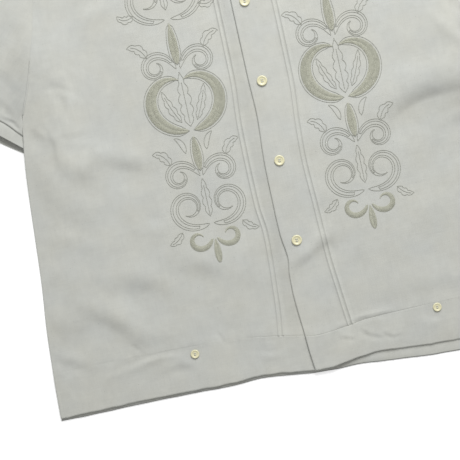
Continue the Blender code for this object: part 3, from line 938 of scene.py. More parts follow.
@dataclass
class Relief:
    """The creases and the soft unevenness of the body's front."""

    creases: tuple[Crease, ...] = (
        Crease(((112, 246), (134, 263), (156, 271), (184, 276), (214, 277.5), (258, 269)),
               0.8, 23, 6, 0.1),
        Crease(((118, 236), (136, 253), (154, 263), (170, 267), (190, 268), (216, 268),
                (258, 258)), 0, 14, 2.4, 0.1),
        Crease(((178, 232), (198, 237), (232, 235)), -0.2, 11, 1.7),
        Crease(((-13, 111), (8, 121), (24, 131), (38, 138)), -0.2, 12, 6.6),
        Crease(((41, 44.5), (51, 46), (61, 46.2), (72, 46.2), (86, 45.8)), 0, 3, 1.9),
        Crease(((20, 41.5), (32, 42.3), (42, 44)), 0, 2.6, 1),
        Crease(((47, 35), (54, 28.5), (60, 25), (73, 20)), -0.5, 3, 1.7),
        Crease(((69, 28), (77, 21.5), (82, 19), (91, 20)), -0.4, 2.8, 1.5),
        Crease(((25, 31), (32, 28), (39, 26)), -0.3, 2.6, 1.2),
        Crease(((86, 13), (94, 9), (102, 7)), -0.3, 3, 0.9),
        Crease(((118, 30), (130, 27), (146, 30)), 0.3, 5, -0.6),
        Crease(((96, 128), (140, 142), (190, 140)), 0.1, 20, 0.5),
        Crease(((60, 96), (104, 88), (150, 98)), 0.1, 18, -0.4),
        Crease(((172, 92), (216, 100), (272, 88)), 0.2, 16, 0.6),
        Crease(((150, 196), (204, 190), (258, 202)), 0.1, 18, -0.5),
        Crease(((-258, 118), (-242, 113), (-221, 99), (-201, 78), (-182, 54)), -0.1, 17, 4),
        Crease(((-290, 108), (-268, 101), (-242, 92)), 0, 16, 2.6),
        Crease(((-203, 74), (-197, 67), (-190, 59)), -0.4, 2.4, 0.9),
        Crease(((-238, 43), (-203, 48), (-178, 52), (-140, 49)), 0.7, 4.5, -1.26),
        Crease(((-208, 278), (-189, 272), (-170, 265), (-142, 256)), -0.1, 16, 4.2),
        Crease(((-240, 272), (-216, 262), (-186, 246)), -0.1, 17, 2.8),
        Crease(((-262, 326), (-250, 312), (-236, 300)), -0.4, 9, 2),
        Crease(((-246, 314), (-241, 290), (-229, 258)), -0.5, 11, 2.4),
        Crease(((-138, 144), (-108, 135), (-82, 123)), 0, 14, 2),
        Crease(((-218, 144), (-183, 132), (-146, 117)), 0, 17, 2.6),
        Crease(((-176, 33), (-160, 36), (-140, 35)), -0.2, 7, 1.8),
        Crease(((-290, 74), (-270, 64), (-250, 56)), -0.2, 8, 1.62),
        Crease(((-108, 67), (-103, 58), (-98, 50)), -0.4, 2.6, 0.9),
        Crease(((-262, 214), (-236, 204), (-216, 188)), 0.2, 12, -1.26),
        Crease(((-128, 206), (-146, 196), (-172, 200)), 0, 11, 1.08),
        Crease(((-230, 378), (-222, 357), (-216, 336)), -0.8, 5, 0.72),
        Crease(((-214, 376), (-213, 350), (-226, 316)), 0.8, 5, 0.54),
        Crease(((-202, 350), (-222, 362), (-238, 364)), -0.6, 4.5, 1.08),
        Crease(((-247, 328), (-240, 310), (-240, 286)), -0.7, 4, 0.72),
        Crease(((-226, 304), (-210, 300), (-192, 301)), 0.15, 4, -0.3),
        Crease(((-230, 312), (-214, 309), (-198, 311)), -0.1, 4, 0.3),
        Crease(((-250, 352), (-238, 372), (-224, 392)), 0.7, 6, 0.54),
        Crease(((-196, 430), (-150, 452), (-120, 492)), -0.4, 12, -1.62),
        Crease(((-150, 392), (-110, 420), (-92, 462)), 0.6, 13, 0.9),
        Crease(((196, 402), (156, 430), (124, 470)), -0.4, 12, 1.62),
        Crease(((252, 330), (226, 352), (206, 384)), -0.8, 6, 1.08),
        Crease(((240, 312), (214, 334), (196, 364)), 0.8, 7, 0.54),
        Crease(((236, 380), (222, 356), (228, 326)), -0.7, 5, 0.72),
        Crease(((270, 222), (244, 210), (214, 206)), 0.5, 10, 1.08),
        Crease(((-190, 540), (-156, 548), (-118, 538)), 0.3, 12, 1.44),
        Crease(((112, 536), (150, 552), (192, 546)), 0.3, 12, 1.44),
        Crease(((56, 10), (60, 20), (58, 30)), 0.5, 3, 0.54),
        Crease(((172, 12), (190, 22), (214, 24)), -0.4, 5, 0.9),
        Crease(((-72, 34), (-52, 28), (-34, 31)), 0.3, 5, -0.9),
    )
    roll: Grain = field(default_factory=lambda: Grain(4, 46.0))
    swell: Grain = field(default_factory=lambda: Grain(11, 21.0))
    crumple: Grain = field(default_factory=lambda: Grain(23, 8.5))
    roll_height: float = 0.42
    swell_height: float = 0.34
    crumple_height: float = 0.05
    deepest: float = 1.3
    even_spot: Patch = Patch(160.0, 160.0, 90.0, 90.0, -0.7)

    def __call__(self, x: Array, y: Array) -> Array:
        """Height over the flat cloth at each place.

        Args:
            x: places across.
            y: places up.

        Returns:
            The heights.
        """
        height = self.roll_height * self.roll(x, y) + self.swell_height * self.swell(x, y)
        height = height * (1.0 + self.even_spot(x, y))
        height = height + self.crumple_height * self.crumple(x, y)
        for crease in self.creases:
            height = height + crease(x, y)
        return np.where(height < 0.0, self.deepest * np.tanh(height / self.deepest), height)


@dataclass
class Puckers:
    """Small ripples across the bottom band's seam, where its sewing draws the cloth in."""

    waves: Grain = field(default_factory=lambda: Grain(31, 5.2))
    long_waves: Grain = field(default_factory=lambda: Grain(37, 12.0))
    height: float = 0.42
    reach: float = 7.0

    def __call__(self, x: Array, away: Array) -> Array:
        """Height of the ripples.

        Args:
            x: places along the seam.
            away: distances from it.

        Returns:
            Heights, which fade away from the seam.
        """
        waves = self.waves(x, 3.0) + 0.8 * self.long_waves(x, 9.0)
        return self.height * waves * np.exp(-np.abs(away) / self.reach)


@dataclass
class Front(Cloth):
    """One front: its panel with a pair of pin tucks, and the bottom band sewn to it."""

    side: Side = Side.LEFT
    relief: Relief = field(default_factory=Relief)
    puckers: Puckers = field(default_factory=Puckers)
    wall: float = 1.5
    band_wall: float = 2.1
    thickness: float = 0.9
    tuck_height: float = 1.1
    tuck_half: float = 1.32
    tuck_reach: float = 4.4
    tuck_pitch: float = 0.42
    tuck_sharpness: float = 1.6
    groove_depth: float = 0.2
    groove_place: float = 1.6
    edge_round: float = 1.1
    armhole_round: float = 0.06
    sewn_from: float = 316.0
    side_room: float = 14.0
    top_room: float = 20.0
    hem_room: float = 18.0
    seam_round: float = 0.5
    seam_faint: tuple[float, float] = (0.1, 0.35)
    seam_clear: tuple[float, float] = (45.0, 95.0)
    seam_overlap: float = 0.06
    seam_swell: float = 0.8
    seam_swell_reach: float = 9.0
    hem_round: float = 1.3
    hem_dip: float = 1.0
    hem_dip_from: float = 45.0
    hem_dip_reach: float = 9.0
    placket: float = 42.0
    panel_width: float = 245.0
    band_depth: float = 44.0
    band_pitch_share: float = 0.8
    hem_unevenness: tuple[float, float] = (0.5, 0.25)
    tuck_sewing: float = 1.75
    tuck_sewn: tuple[float, float] = (44.0, 548.0)
    seam_sewing: float = 1.9
    seam_sewn_from: tuple[float, float] = (20.0, -10.0)
    seam_sewn_to: float = 292.0
    sewing_step: float = 1.2
    cut: Cut = Cut(0.335, 0.590, 0.152)
    band_cut: Cut = Cut(0.312, 0.056, 0.0142)

    def __post_init__(self) -> None:
        """Measures the solids that the cloth follows."""
        super().__post_init__()
        self.under = Underside(self.place, f"front_{self.side.word}")
        self.band_under = Underside(self.place, f"band_front_{self.side.word}")

    def columns(self) -> Array:
        """Columns as numbers: 0 at the front edge, 1 and 2 at the tucks' feet, 3 at the side."""
        first = steps(self.placket, self.pitch, self.edges, False)
        tucks = steps(2.0 * self.tuck_reach, self.tuck_pitch * (1.0))
        rest = 1.0 - steps(self.panel_width, self.pitch, self.edges, False)[::-1]
        return np.concatenate([first[:-1], 1.0 + tucks[:-1], 2.0 + rest])

    def x_of(self, columns: Array, y: Array, side_y: Array) -> Array:
        """Place across the shirt of each column at heights y.

        Args:
            columns: the columns' numbers.
            y: the heights in the plan.
            side_y: the same row's height at the side.

        Returns:
            Places across.
        """
        sign = self.side.value
        middle = self.pattern.tucks(self.side)(y)
        anchors = np.stack([
            self.pattern.edge(self.side, y) + 0.0 * y, middle - sign * self.tuck_reach,
            middle + sign * self.tuck_reach, sign * self.pattern.side_half(side_y) + 0.0 * y,
        ])
        span = np.clip(columns.astype(int), 0, 2)
        low = np.take_along_axis(anchors, np.broadcast_to(span, y.shape)[None], 0)[0]
        high = np.take_along_axis(anchors, np.broadcast_to(span + 1, y.shape)[None], 0)[0]
        return mix(low, high, columns - span)

    def seam_row(self) -> tuple[float, Array]:
        """The band's seam: its height at the side, and at each column.

        Returns:
            The side's height, and one for each column.
        """
        columns = self.columns()
        seam_y = float(self.pattern.front_seam(self.side.value * self.pattern.seam_end))
        heights = np.full(columns.shape, seam_y)
        for _ in range(3):
            heights = self.pattern.front_seam(self.x_of(columns, heights, np.array(seam_y)))
        return seam_y, heights

    def plan(self) -> tuple[Array, Array]:
        """The panel's places: rows from its seam to its top, columns from its edge to its side.

        Returns:
            Places across and up, rows by columns.
        """
        p, columns = self.pattern, self.columns()
        seam_y, foot = self.seam_row()
        foot = foot - self.seam_overlap
        top_x = self.x_of(columns, np.full(columns.shape, p.neck_y), np.array(p.shoulder_y))
        top = p.top_y(top_x, p.front_drop)
        rows_x, rows_y = [], []
        for share in steps(p.level_from - seam_y + 8.0, self.pitch, self.edges, False)[:-1]:
            y = mix(foot, p.level_from, share)
            rows_x.append(self.x_of(columns, y, mix(seam_y, p.level_from, share)))
            rows_y.append(y)
        height = p.shoulder_y - p.level_from
        for share in 1.0 - steps(height, self.pitch, self.edges, False)[::-1]:
            side_y = mix(p.level_from, p.shoulder_y, share)
            y = p.row_y(np.full(columns.shape, side_y), top)
            rows_x.append(self.x_of(columns, y, side_y))
            rows_y.append(y)
        return np.array(rows_x), np.array(rows_y)

    def top(self, x: Array, y: Array) -> Array:
        """Height of the panel's upper side at each place, with all that shapes it.

        Args:
            x: places across.
            y: places up.

        Returns:
            The heights.
        """
        p, sign = self.pattern, self.side.value
        x, y = np.asarray(x, float), np.asarray(y, float)
        to_seam = y - p.front_seam(x)
        to_side = p.side_half(y) - np.abs(x)
        to_top = p.top_y(x, p.front_drop) - y
        to_edge = sign * (x - p.edge(self.side, y))
        room = smooth(to_side / self.side_room) * smooth(to_top / self.top_room)
        room = room * mix(0.7, 1.0, smooth(to_seam / self.top_room))
        height = self.under(x, y) + self.wall + self.relief(x, y) * room * p.calm(x, y)
        swell = self.seam_swell * np.exp(-((to_seam / self.seam_swell_reach) ** 2))
        height = height + self.puckers(x, to_seam) + swell
        middle = p.tucks(self.side)(y)
        for crest in (-p.tuck_spacing / 2, p.tuck_spacing / 2):
            away = (x - middle - crest) / self.tuck_half
            height = height + self.tuck_height * np.exp(-(away ** 2) * self.tuck_sharpness)
            height = height - self.groove_depth * np.exp(-((away - self.groove_place) ** 2) * 2.0)
        side_round = mix(self.edge_round, self.armhole_round, smooth((y - self.sewn_from) / 10.0))
        drop = quarter_round(to_edge, self.edge_round) + quarter_round(to_side, side_round)
        drop = drop + quarter_round(to_seam, self.seam_radius(x)) + quarter_round(to_top, 1.0)
        return height - drop

    def band_plan(self) -> tuple[Array, Array]:
        """The band's places: rows from its hem to its seam.

        Returns:
            Places across and up, rows by columns.
        """
        p, columns = self.pattern, self.columns()
        seam_y, seam = self.seam_row()
        foot_x = self.x_of(columns, np.zeros(columns.shape), np.array(0.0))
        rows_x, rows_y = [], []
        for share in steps(self.band_depth, self.pitch * self.band_pitch_share, self.edges):
            y = mix(p.front_hem(foot_x) + self.hem_waves(foot_x), seam, share)
            rows_x.append(self.x_of(columns, y, mix(0.0, seam_y, share)))
            rows_y.append(y)
        return np.array(rows_x), np.array(rows_y)

    def hem_waves(self, x: Array) -> Array:
        """The hem's small unevenness in the plan."""
        long, short = self.hem_unevenness
        return long * self.puckers.long_waves(x, 40.0) + short * self.puckers.waves(x, 40.0)

    def band_top(self, x: Array, y: Array) -> Array:
        """Height of the band's upper side at each place.

        Args:
            x: places across.
            y: places up.

        Returns:
            The heights.
        """
        p, sign = self.pattern, self.side.value
        to_hem = y - p.front_hem(x) - self.hem_waves(x)
        to_seam = p.front_seam(x) - y
        to_side = p.side_half(y) - np.abs(x)
        to_edge = sign * (x - p.edge(self.side, y))
        height = self.band_under(x, y) + self.band_wall
        room = 0.7 * smooth(to_side / self.side_room) * smooth(to_hem / self.hem_room)
        height = height + self.relief(x, y) * (room * p.calm(x, y))
        height = height + self.puckers(x, to_seam) + 0.75 * self.puckers(x + 60.0, to_hem)
        dip = smooth((x - self.hem_dip_from) / self.hem_dip_from)
        height = height - self.hem_dip * dip * np.exp(-np.abs(to_hem) / self.hem_dip_reach)
        drop = quarter_round(to_edge, self.edge_round) + quarter_round(to_side, self.edge_round)
        drop = drop + quarter_round(to_seam, self.seam_radius(x))
        drop = drop + quarter_round(to_hem, self.hem_round)
        return height - drop

    def seam_radius(self, x: Array) -> Array:
        """How far the band's seam is rounded: clearly near the front edge, faintly farther out."""
        clear, faint = (both[self.side is Side.LEFT] for both in (self.seam_clear, self.seam_faint))
        share = mix(1.0, faint, smooth((np.abs(x) - clear) / 40.0))
        return self.seam_round * share * (1.0 + 0.3 * self.puckers.long_waves(x, 90.0))

    def build(self) -> None:
        """Makes the panel and its band."""
        word = self.side.word
        x, y = self.plan()
        # The right front's panel gets a strip of painted shade beside the edge that lies over it.
        strip = self.tone.strip(x, y) if self.side is Side.RIGHT else 0.0
        panel = self.add_sheet(f"front_panel_{word}", np.dstack([x, y, self.top(x, y)]),
                               self.thickness, strip)
        self.declare(panel, self.cut, f"front_{word}", rests_on=["back"])
        x, y = self.band_plan()
        band = self.add_sheet(f"bottom_band_front_{word}", np.dstack([x, y, self.band_top(x, y)]),
                              self.thickness)
        self.declare(band, self.band_cut, f"band_front_{word}", rests_on=["band_back"])

    def tuck_lines(self) -> list[Array]:
        """The sewing of each tuck, along its foot, as points on the cloth."""
        y = np.arange(*self.tuck_sewn, self.sewing_step)
        middle = self.pattern.tucks(self.side)(y)
        lines = []
        for crest in (-self.pattern.tuck_spacing / 2, self.pattern.tuck_spacing / 2):
            x = middle + crest + self.tuck_sewing
            lines.append(np.column_stack([x, y, self.top(x, y)]))
        return lines

    def seam_line(self) -> list[Array]:
        """The row of sewing that holds the band's upper edge."""
        start = self.seam_sewn_from[self.side is Side.LEFT]
        x = self.side.value * np.arange(start, self.seam_sewn_to, self.sewing_step)
        y = self.pattern.front_seam(x) - self.seam_sewing
        return [np.column_stack([x, y, self.band_top(x, y)])]


@dataclass
class Back(Cloth):
    """The back panel and its bottom band, under the fronts and flat on the surface."""

    width: float = 590.0
    lowest: float = 0.05
    thickness: float = 0.85
    band_depth: float = 46.0
    band_thickness: float = 1.75
    edge_round: float = 0.8
    hem_round: float = 1.6
    hem_waviness: float = 0.45
    ripple: float = 0.35
    ripple_reach: float = 24.0
    waves: Grain = field(default_factory=lambda: Grain(53, 15.0))
    cut: Cut = Cut(0.600, 0.600, 0.305)
    band_cut: Cut = Cut(0.592, 0.046, 0.0225)

    def __post_init__(self) -> None:
        """Measures the solid that the cloth follows."""
        super().__post_init__()
        self.pitch *= 1.8
        self.under = Underside(self.place, "back")

    def add_panel(self) -> Object:
        """Makes the panel, from the band's seam to the neck and the shoulders.

        Returns:
            The piece.
        """
        p = self.pattern
        shares = 2.0 * steps(self.width, self.pitch, self.edges) - 1.0
        top = p.top_y(shares * p.shoulder_half, p.back_drop)
        foot = p.back_seam + p.seam_gap
        rows = []
        for share in steps(p.shoulder_y - foot, self.pitch, self.edges):
            side_y = mix(foot, p.shoulder_y, share)
            x = shares * p.side_half(side_y)
            y = p.row_y(np.full(shares.shape, side_y), top)
            drop = quarter_round(p.side_half(side_y) - np.abs(x), self.edge_round)
            drop = np.maximum(drop, quarter_round(top - y, self.edge_round))
            thick = self.thickness - drop
            rows.append(np.column_stack([x, y, self.under(x, y) + self.lowest + thick, thick]))
        grid = np.array(rows)
        return self.add_sheet("back_panel", grid[:, :, :3], grid[:, :, 3])

    def add_band(self) -> Object:
        """Makes the bottom band, whose hem peeks out below the front's.

        Returns:
            The piece.
        """
        p = self.pattern
        shares = 2.0 * steps(self.width, self.pitch, self.edges) - 1.0
        rows = []
        for share in steps(self.band_depth, self.pitch, self.edges):
            side = p.side_half(mix(0.0, p.back_seam, share))
            x = shares * side
            hem = p.back_hem(x) + self.hem_waviness * self.waves(x, 5.0)
            y = mix(hem, p.back_seam, share)
            ripple = self.ripple * np.abs(self.waves(x, 60.0))
            ripple = ripple * smooth(1.0 - (y - hem) / self.ripple_reach)
            drop = np.maximum(quarter_round(side - np.abs(x), 1.0),
                              quarter_round(y - hem, self.hem_round))
            thick = self.band_thickness - drop
            rows.append(np.column_stack([x, y, self.lowest + thick + ripple, thick]))
        grid = np.array(rows)
        # Painted shade on the band's lower rim, where its hem turns under.
        rim = self.tone.rim(grid[:, :, 1] - grid[0, :, 1])
        return self.add_sheet("bottom_band_back", grid[:, :, :3], grid[:, :, 3], rim)

    def build(self) -> None:
        """Makes the panel and its band."""
        self.declare(self.add_panel(), self.cut, "back")
        self.declare(self.add_band(), self.band_cut, "band_back")


@dataclass
class Sleeve(Cloth):
    """A short sleeve: a flattened tube with a turned hem, sewn into the armhole."""

    side: Side = Side.RIGHT
    body: Optional[Front] = None
    wall: float = 1.5
    inside: float = 0.45
    lowest: float = 0.05
    thickness: float = 0.8
    seam_round: float = 0.06
    seam_overlap: float = 0.12
    tuck_in: float = 7.0
    tube_width: float = 190.0
    tube_edges: tuple[float, ...] = (0.4, 1.0, 2.0)
    fold_room: float = 0.06
    covered_from: float = 0.35
    covered_gap: float = 0.5
    level_reach: float = 30.0
    level_y: float = 306.0
    lumps: tuple[float, float] = (0.5, 0.12)
    hem_ripple: float = 0.3
    hem_groove: float = 0.45
    hem_groove_half: float = 0.8
    hem_step: float = 1.35
    hem_step_reach: float = 7.0
    hem_fine: float = 4.2
    hem_sewn: tuple[float, float] = (0.015, 0.985)
    fold: float = 1.6
    fold_turns: tuple[float, ...] = (62.0, 38.0, 12.0, -15.0, -45.0)
    mouth_height: float = 4.2
    mouth_step: float = 8.0
    mouth_depth: Profile = Profile(
        (0, 30), (0.3, 90), (0.577, 34), (0.735, 15), (1, 10),
    )
    opening: Profile = Profile(
        (0, 0), (0.12, 0.55), (0.3, 1), (0.577, 0.95), (0.735, 0.66), (0.88, 0.25),
        (1, 0),
    )
    hem_depth: Profile = Profile(
        (0, 13), (0.3, 12.4), (0.577, 14.2), (0.72, 11.4), (0.85, 12.5), (1, 13),
    )
    hem_reach: float = 18.0
    seam_to_hem: float = 225.0
    cut: Cut = Cut(0.400, 0.246, 0.0430)
    swell: Grain = field(default_factory=lambda: Grain(67, 26.0))
    crumple: Grain = field(default_factory=lambda: Grain(71, 9.0))
    creases: tuple[Crease, ...] = (
        Crease(((-238, 520), (-262, 470), (-300, 420)), 0.9, 12, 1.26),
        Crease(((-246, 440), (-276, 410), (-312, 388)), -0.7, 10, 1.44),
        Crease(((-284, 370), (-277, 358), (-271, 345)), 0.4, 4.6, -0.2),
        Crease(((-289, 366), (-283, 356), (-279, 346)), -0.4, 5, 0.5),
        Crease(((-282, 398), (-274, 384), (-269, 368)), -0.3, 7, 0.5),
        Crease(((-281, 342), (-276, 338), (-271, 334)), -0.5, 2.4, 1.1),
        Crease(((-277, 336), (-272, 331), (-269, 325)), -0.5, 2.2, 1.1),
        Crease(((-289, 347), (-284, 344), (-279, 340)), 0.3, 2.6, 0.7),
        Crease(((-312, 398), (-302, 384), (-296, 362)), 0.1, 12, 1.2),
        Crease(((-330, 430), (-338, 404), (-352, 388)), 0.6, 8, 0.9),
        Crease(((-252, 500), (-290, 492), (-326, 500)), 0.3, 11, -1.44),
    )

    @property
    def mirror(self) -> float:
        """-1 where the sleeve is mirrored from the right one, else 1."""
        return -1.0 if self.side is Side.LEFT else 1.0

    def corners(self) -> tuple[Array, Array]:
        """Outer and inner corner of the right sleeve's hem."""
        p = self.pattern
        along = np.array((math.cos(p.hem_angle), math.sin(p.hem_angle)))
        start = np.array(p.hem_crossing)
        return start + p.hem_out * along, start - p.hem_in * along

    def point(self, across: Array, down: Any) -> tuple[Array, Array]:
        """Place of the right sleeve's cloth: across from its top fold, down from the armhole.

        Close to the hem each ring keeps the same distance from it all the way across.
        """
        x, y, hem_x, hem_y, whole = self.ends(across)
        share = self.from_hem(across, down) / whole
        return mix(hem_x, x, share), mix(hem_y, y, share)

    def ends(self, across: Array) -> tuple[Array, Array, Array, Array, Array]:
        """The place on the armhole, the place on the hem, and the first's distance from the hem.

        Args:
            across: shares of the way across it.

        Returns:
            x and y on the armhole, x and y on the hem, that distance.
        """
        p = self.pattern
        outer, inner = self.corners()
        y = mix(p.shoulder_y, p.armpit_y - self.tuck_in, across)
        x = -p.armhole(y) + self.seam_overlap
        hem_x, hem_y = mix(outer[0], inner[0], across), mix(outer[1], inner[1], across)
        whole = (x - hem_x) * math.sin(p.hem_angle) - (y - hem_y) * math.cos(p.hem_angle)
        return x, y, hem_x, hem_y, whole

    def from_hem(self, across: Array, down: Any) -> Array:
        """Distance from the hem."""
        away = (1.0 - down) * self.seam_to_hem
        beyond = (away - self.hem_reach) / (self.seam_to_hem - self.hem_reach)
        return np.where(beyond < 0.0, away, mix(self.hem_reach, self.ends(across)[-1], beyond))

    def mouth(self, across: Array, down: Any) -> Array:
        """How open the sleeve is, from 0 to 1."""
        away = self.from_hem(across, down) / self.mouth_depth(across)
        return self.opening(across) * smooth(1.0 - away)

    def upper(self, x: Array, y: Array, across: Array, down: Any) -> Array:
        """Height of the sleeve's upper side, under the body where the body covers it.

        Args:
            x: places across the shirt, on the right sleeve.
            y: places up the shirt.
            across: shares of the way from its top fold to its lower one.
            down: share of the way from the armhole to the hem.

        Returns:
            Heights over the surface.
        """
        p = self.pattern
        above = (1.0 - down) * self.seam_to_hem - self.hem_depth(across)
        room = smooth(across / self.fold_room) * smooth((1.0 - across) / self.fold_room)
        lumps = self.lumps[0] * self.swell(x, y) + self.lumps[1] * self.crumple(x, y)
        for crease in self.creases:
            lumps = lumps + crease(x, y)
        ripple = self.hem_ripple * self.crumple(x * 1.7, y * 1.7) * np.exp(-np.abs(above) / 5.0)
        outside = np.abs(x) - p.side_half(y)
        level = smooth(1.0 - outside / self.level_reach) * smooth((y - self.level_y) / 22.0)
        z = 2.0 * self.wall + self.inside + self.mouth_height * self.mouth(across, down)
        z = z + (lumps + ripple) * room
        ground = self.body.under(self.mirror * x, y)
        z = mix(z, ground + self.wall + lumps * room * smooth(outside / 12.0), level)
        z = z - self.hem_groove * np.exp(-((above / self.hem_groove_half) ** 2))
        fall = smooth((0.6 - above) / 1.0) * np.exp(np.minimum(above, 0.0) / self.hem_step_reach)
        z = z - self.hem_step * fall
        to_seam = np.array(down * self.seam_to_hem)
        clear = np.maximum(smooth(to_seam / 1.5), smooth((p.armpit_y - y) / 2.0))
        covered = smooth((-self.covered_from - outside) / 0.9) * clear
        z = mix(z, np.minimum(z, ground - self.wall - self.covered_gap), covered)
        return z - quarter_round(to_seam, self.seam_round)

    def ring(self, across: Array, down: float) -> Array:
        """The tube's outside at one share of its length: upper side, fold, lower side, fold.

        Args:
            across: shares of the way across it.
            down: share of the way from the armhole to the hem.

        Returns:
            The ring's points.
        """
        top, low = np.array(self.point(np.array((0.0, 1.0)), down)).T
        span = float(np.hypot(*(low - top)))
        inward = (low - top) / span
        tight = 1.0 - 2.0 * self.fold / span
        x, y = ((at - top[k]) * tight + top[k] + inward[k] * self.fold
                for k, at in enumerate(self.point(across, down)))
        high = self.upper(x, y, across, down)
        step = self.mouth_step * self.mouth(across, down)
        under_x = x - math.sin(self.pattern.hem_angle) * step
        under_y = y + math.cos(self.pattern.hem_angle) * step
        under = np.column_stack([under_x, under_y, np.full(x.shape, self.lowest)])
        return np.concatenate([
            np.column_stack([x, y, high]), self.bend(low, -inward, high[-1]), under[::-1],
            self.bend(top, inward, high[0])[::-1],
        ])

    def bend(self, edge: Array, inward: Array, high: float) -> Array:
        """Points round a fold at the tube's edge, from its upper to its lower side.

        Args:
            edge: the fold's place.
            inward: the way across the sleeve from it.
            high: the upper side's height there.

        Returns:
            The points.
        """
        turns = np.radians(np.array(self.fold_turns))
        away = self.fold * (1.0 - np.cos(turns))
        half = (high - self.lowest) / 2
        up = self.lowest + half + half * np.sin(turns)
        return np.column_stack([edge[0] + inward[0] * away, edge[1] + inward[1] * away, up])

    def ring_places(self) -> Array:
        """Where the rings are, as shares of the length: close together at the hem's sewing."""
        middle, near = float(self.hem_depth(0.5)), self.hem_fine
        line = self.seam_to_hem - middle
        fine = np.arange(line - near, line + near - 0.2, 0.4)
        first = steps(line - near, self.pitch, self.edges, False) * (line - near)
        last = 1.0 - steps(middle - near, self.pitch, self.edges, False)[::-1]
        last = line + near + last * (middle - near)
        return np.concatenate([first[:-1], fine, last]) / self.seam_to_hem

    def build(self) -> None:
        """Makes the tube, ring by ring from the armhole to the hem."""
        across = steps(self.tube_width, self.pitch * 1.25, self.tube_edges)
        rings = self.ring_places()
        tube = np.array([self.ring(across, down) for down in rings])
        tube[:, :, 0] *= self.mirror
        out = normals(tube, True)
        out = out * np.sign(out[len(rings) // 2, len(across) // 2, 2])
        inner = tube - self.thickness * out
        inner[:, :, 2] = np.maximum(inner[:, :, 2], self.lowest)
        points = np.concatenate([tube.reshape(-1, 3), inner.reshape(-1, 3)])
        piece = add_mesh(f"sleeve_{self.side.word}_cloth", self.place, points,
                         shell_faces(*tube.shape[:2], True), self.finish)
        self.shade(piece)
        self.declare(piece, self.cut, f"sleeve_{self.side.word}")

    def hem_line(self) -> list[Array]:
        """The hem's row of sewing on the upper side."""
        across = np.linspace(*self.hem_sewn, 170)
        down = 1.0 - self.hem_depth(across) / self.seam_to_hem
        x, y = self.point(across, down)
        return [np.column_stack([self.mirror * x, y, self.upper(x, y, across, down)])]


class Section(NamedTuple):
    """How the collar stands at one place of its half, in degrees and millimetres."""

    place: float
    angle: float
    turn: float
    fold_out: float
    fold_up: float
    leaf_out: float
    leaf_up: float


@dataclass
class Collar(Cloth):
    """The collar: a stand that rises from the neck seam and a leaf that turns down over it."""

    body: Optional[Front] = None
    sections: int = 181
    wall: float = 1.3
    rest: float = 1.1
    table: tuple[Section, ...] = (
        Section(0.00, 0, 90, 13, 17, 44, 1.7),
        Section(0.12, 26, 82, 12, 16.8, 44, 1.8),
        Section(0.24, 54, 66, 8.5, 16, 42, 2.4),
        Section(0.36, 90, 22, 3, 14.5, 41, 5.6),
        Section(0.48, 108, -6, -2, 13.4, 46, 5.2),
        Section(0.60, 126, -27, -4, 12.4, 54, 5),
        Section(0.72, 142, -43, -5, 11.6, 63, 5),
        Section(0.84, 157, -52, -4.5, 11.2, 73, 5),
        Section(1.00, 173, -49, -4, 11.2, 82, 5),
    )
    seam_heights: tuple[float, float] = (3.2, 5.4)
    on_body_from: float = 0.3
    body_from: float = 4.0
    stitch_inset: float = 5.0
    cut: Cut = Cut(0.450, 0.100, 0.0300)

    def column(self, index: int) -> Profile:
        """One column of the table of sections."""
        return Profile(*[(row[0], row[index]) for row in self.table])

    def line(self, place: float, count: int = 44) -> Array:
        """The collar's middle surface at one place of its half: seam, stand, fold and leaf.

        Args:
            place: share of the way from the back to the front end.
            count: how many points it has.

        Returns:
            The points.
        """
        p = self.pattern
        angle, turn, fold_out, fold_up, leaf_out, leaf_up = (
            float(self.column(k)(place)) for k in range(1, 7))
        around = math.radians(angle)
        drop = p.back_drop if angle <= 90.0 else p.front_drop
        x, y = p.neck_half * math.sin(around), p.neck_y - drop * abs(math.cos(around))
        seam_up = mix(*self.seam_heights, float(smooth((place - 0.1) / 0.3)))
        knots = np.array([
            (0.0, seam_up), (fold_out / 2 - 0.6, (seam_up + fold_up) / 2),
            (fold_out - 1.0, fold_up - 1.9), (fold_out + 0.3, fold_up),
            (fold_out + 3.2, fold_up - 0.6),
            (mix(fold_out, leaf_out, 0.42), mix(fold_up, leaf_up, 0.66)),
            (mix(fold_out, leaf_out, 0.75), mix(fold_up, leaf_up, 0.93)), (leaf_out, leaf_up),
        ])
        length = np.concatenate([[0.0], np.cumsum(np.hypot(*np.diff(knots, axis=0).T))])
        at = np.linspace(0.0, length[-1], count)
        out, up = Profile(*zip(length, knots[:, 0]))(at), Profile(*zip(length, knots[:, 1]))(at)
        turn = math.radians(turn)
        px, py = x + out * math.cos(turn), y + out * math.sin(turn)
        if place > self.on_body_from:
            ground = self.body.under(np.maximum(px, self.body_from), py)
            ground = ground + self.body.wall + self.rest
            up = np.maximum(up, ground * float(smooth((place - self.on_body_from) / 0.06)))
        return np.column_stack([px, py, up])

    def grid(self) -> Array:
        """The middle surface, from the right end round the back to the left end.

        Returns:
            The points, sections by points by 3.
        """
        half = self.sections // 2
        rows = []
        for k in range(-half, half + 1):
            line = self.line(abs(k) / half)
            rows.append(line * (math.copysign(1.0, k or 1), 1.0, 1.0))
        return np.array(rows)

    def build(self) -> None:
        """Makes the collar's wall."""
        grid = self.grid()
        out = normals(grid, False)
        points = np.concatenate([(grid + out * self.wall / 2).reshape(-1, 3),
                                 (grid - out * self.wall / 2).reshape(-1, 3)])
        faces = shell_faces(*grid.shape[:2], False)
        piece = add_mesh("collar_cloth", self.place, points, faces, self.finish)
        self.declare(piece, self.cut, "collar", rests_on=["front_panel_left", "front_panel_right"])

    def stitch_line(self) -> list[Array]:
        """The row of sewing along the leaf's edge.

        Returns:
            The row's points.
        """
        grid = self.grid()
        out = normals(grid, False)
        if out[0, -1, 2] < 0.0:
            out = -out
        edge = grid[:, -1]
        inward = grid[:, -8] - edge
        inward = inward / np.linalg.norm(inward, axis=1, keepdims=True)
        line = edge + inward * self.stitch_inset + np.array((0.0, 0.0, self.wall / 2))
        return [line[3:-3]]


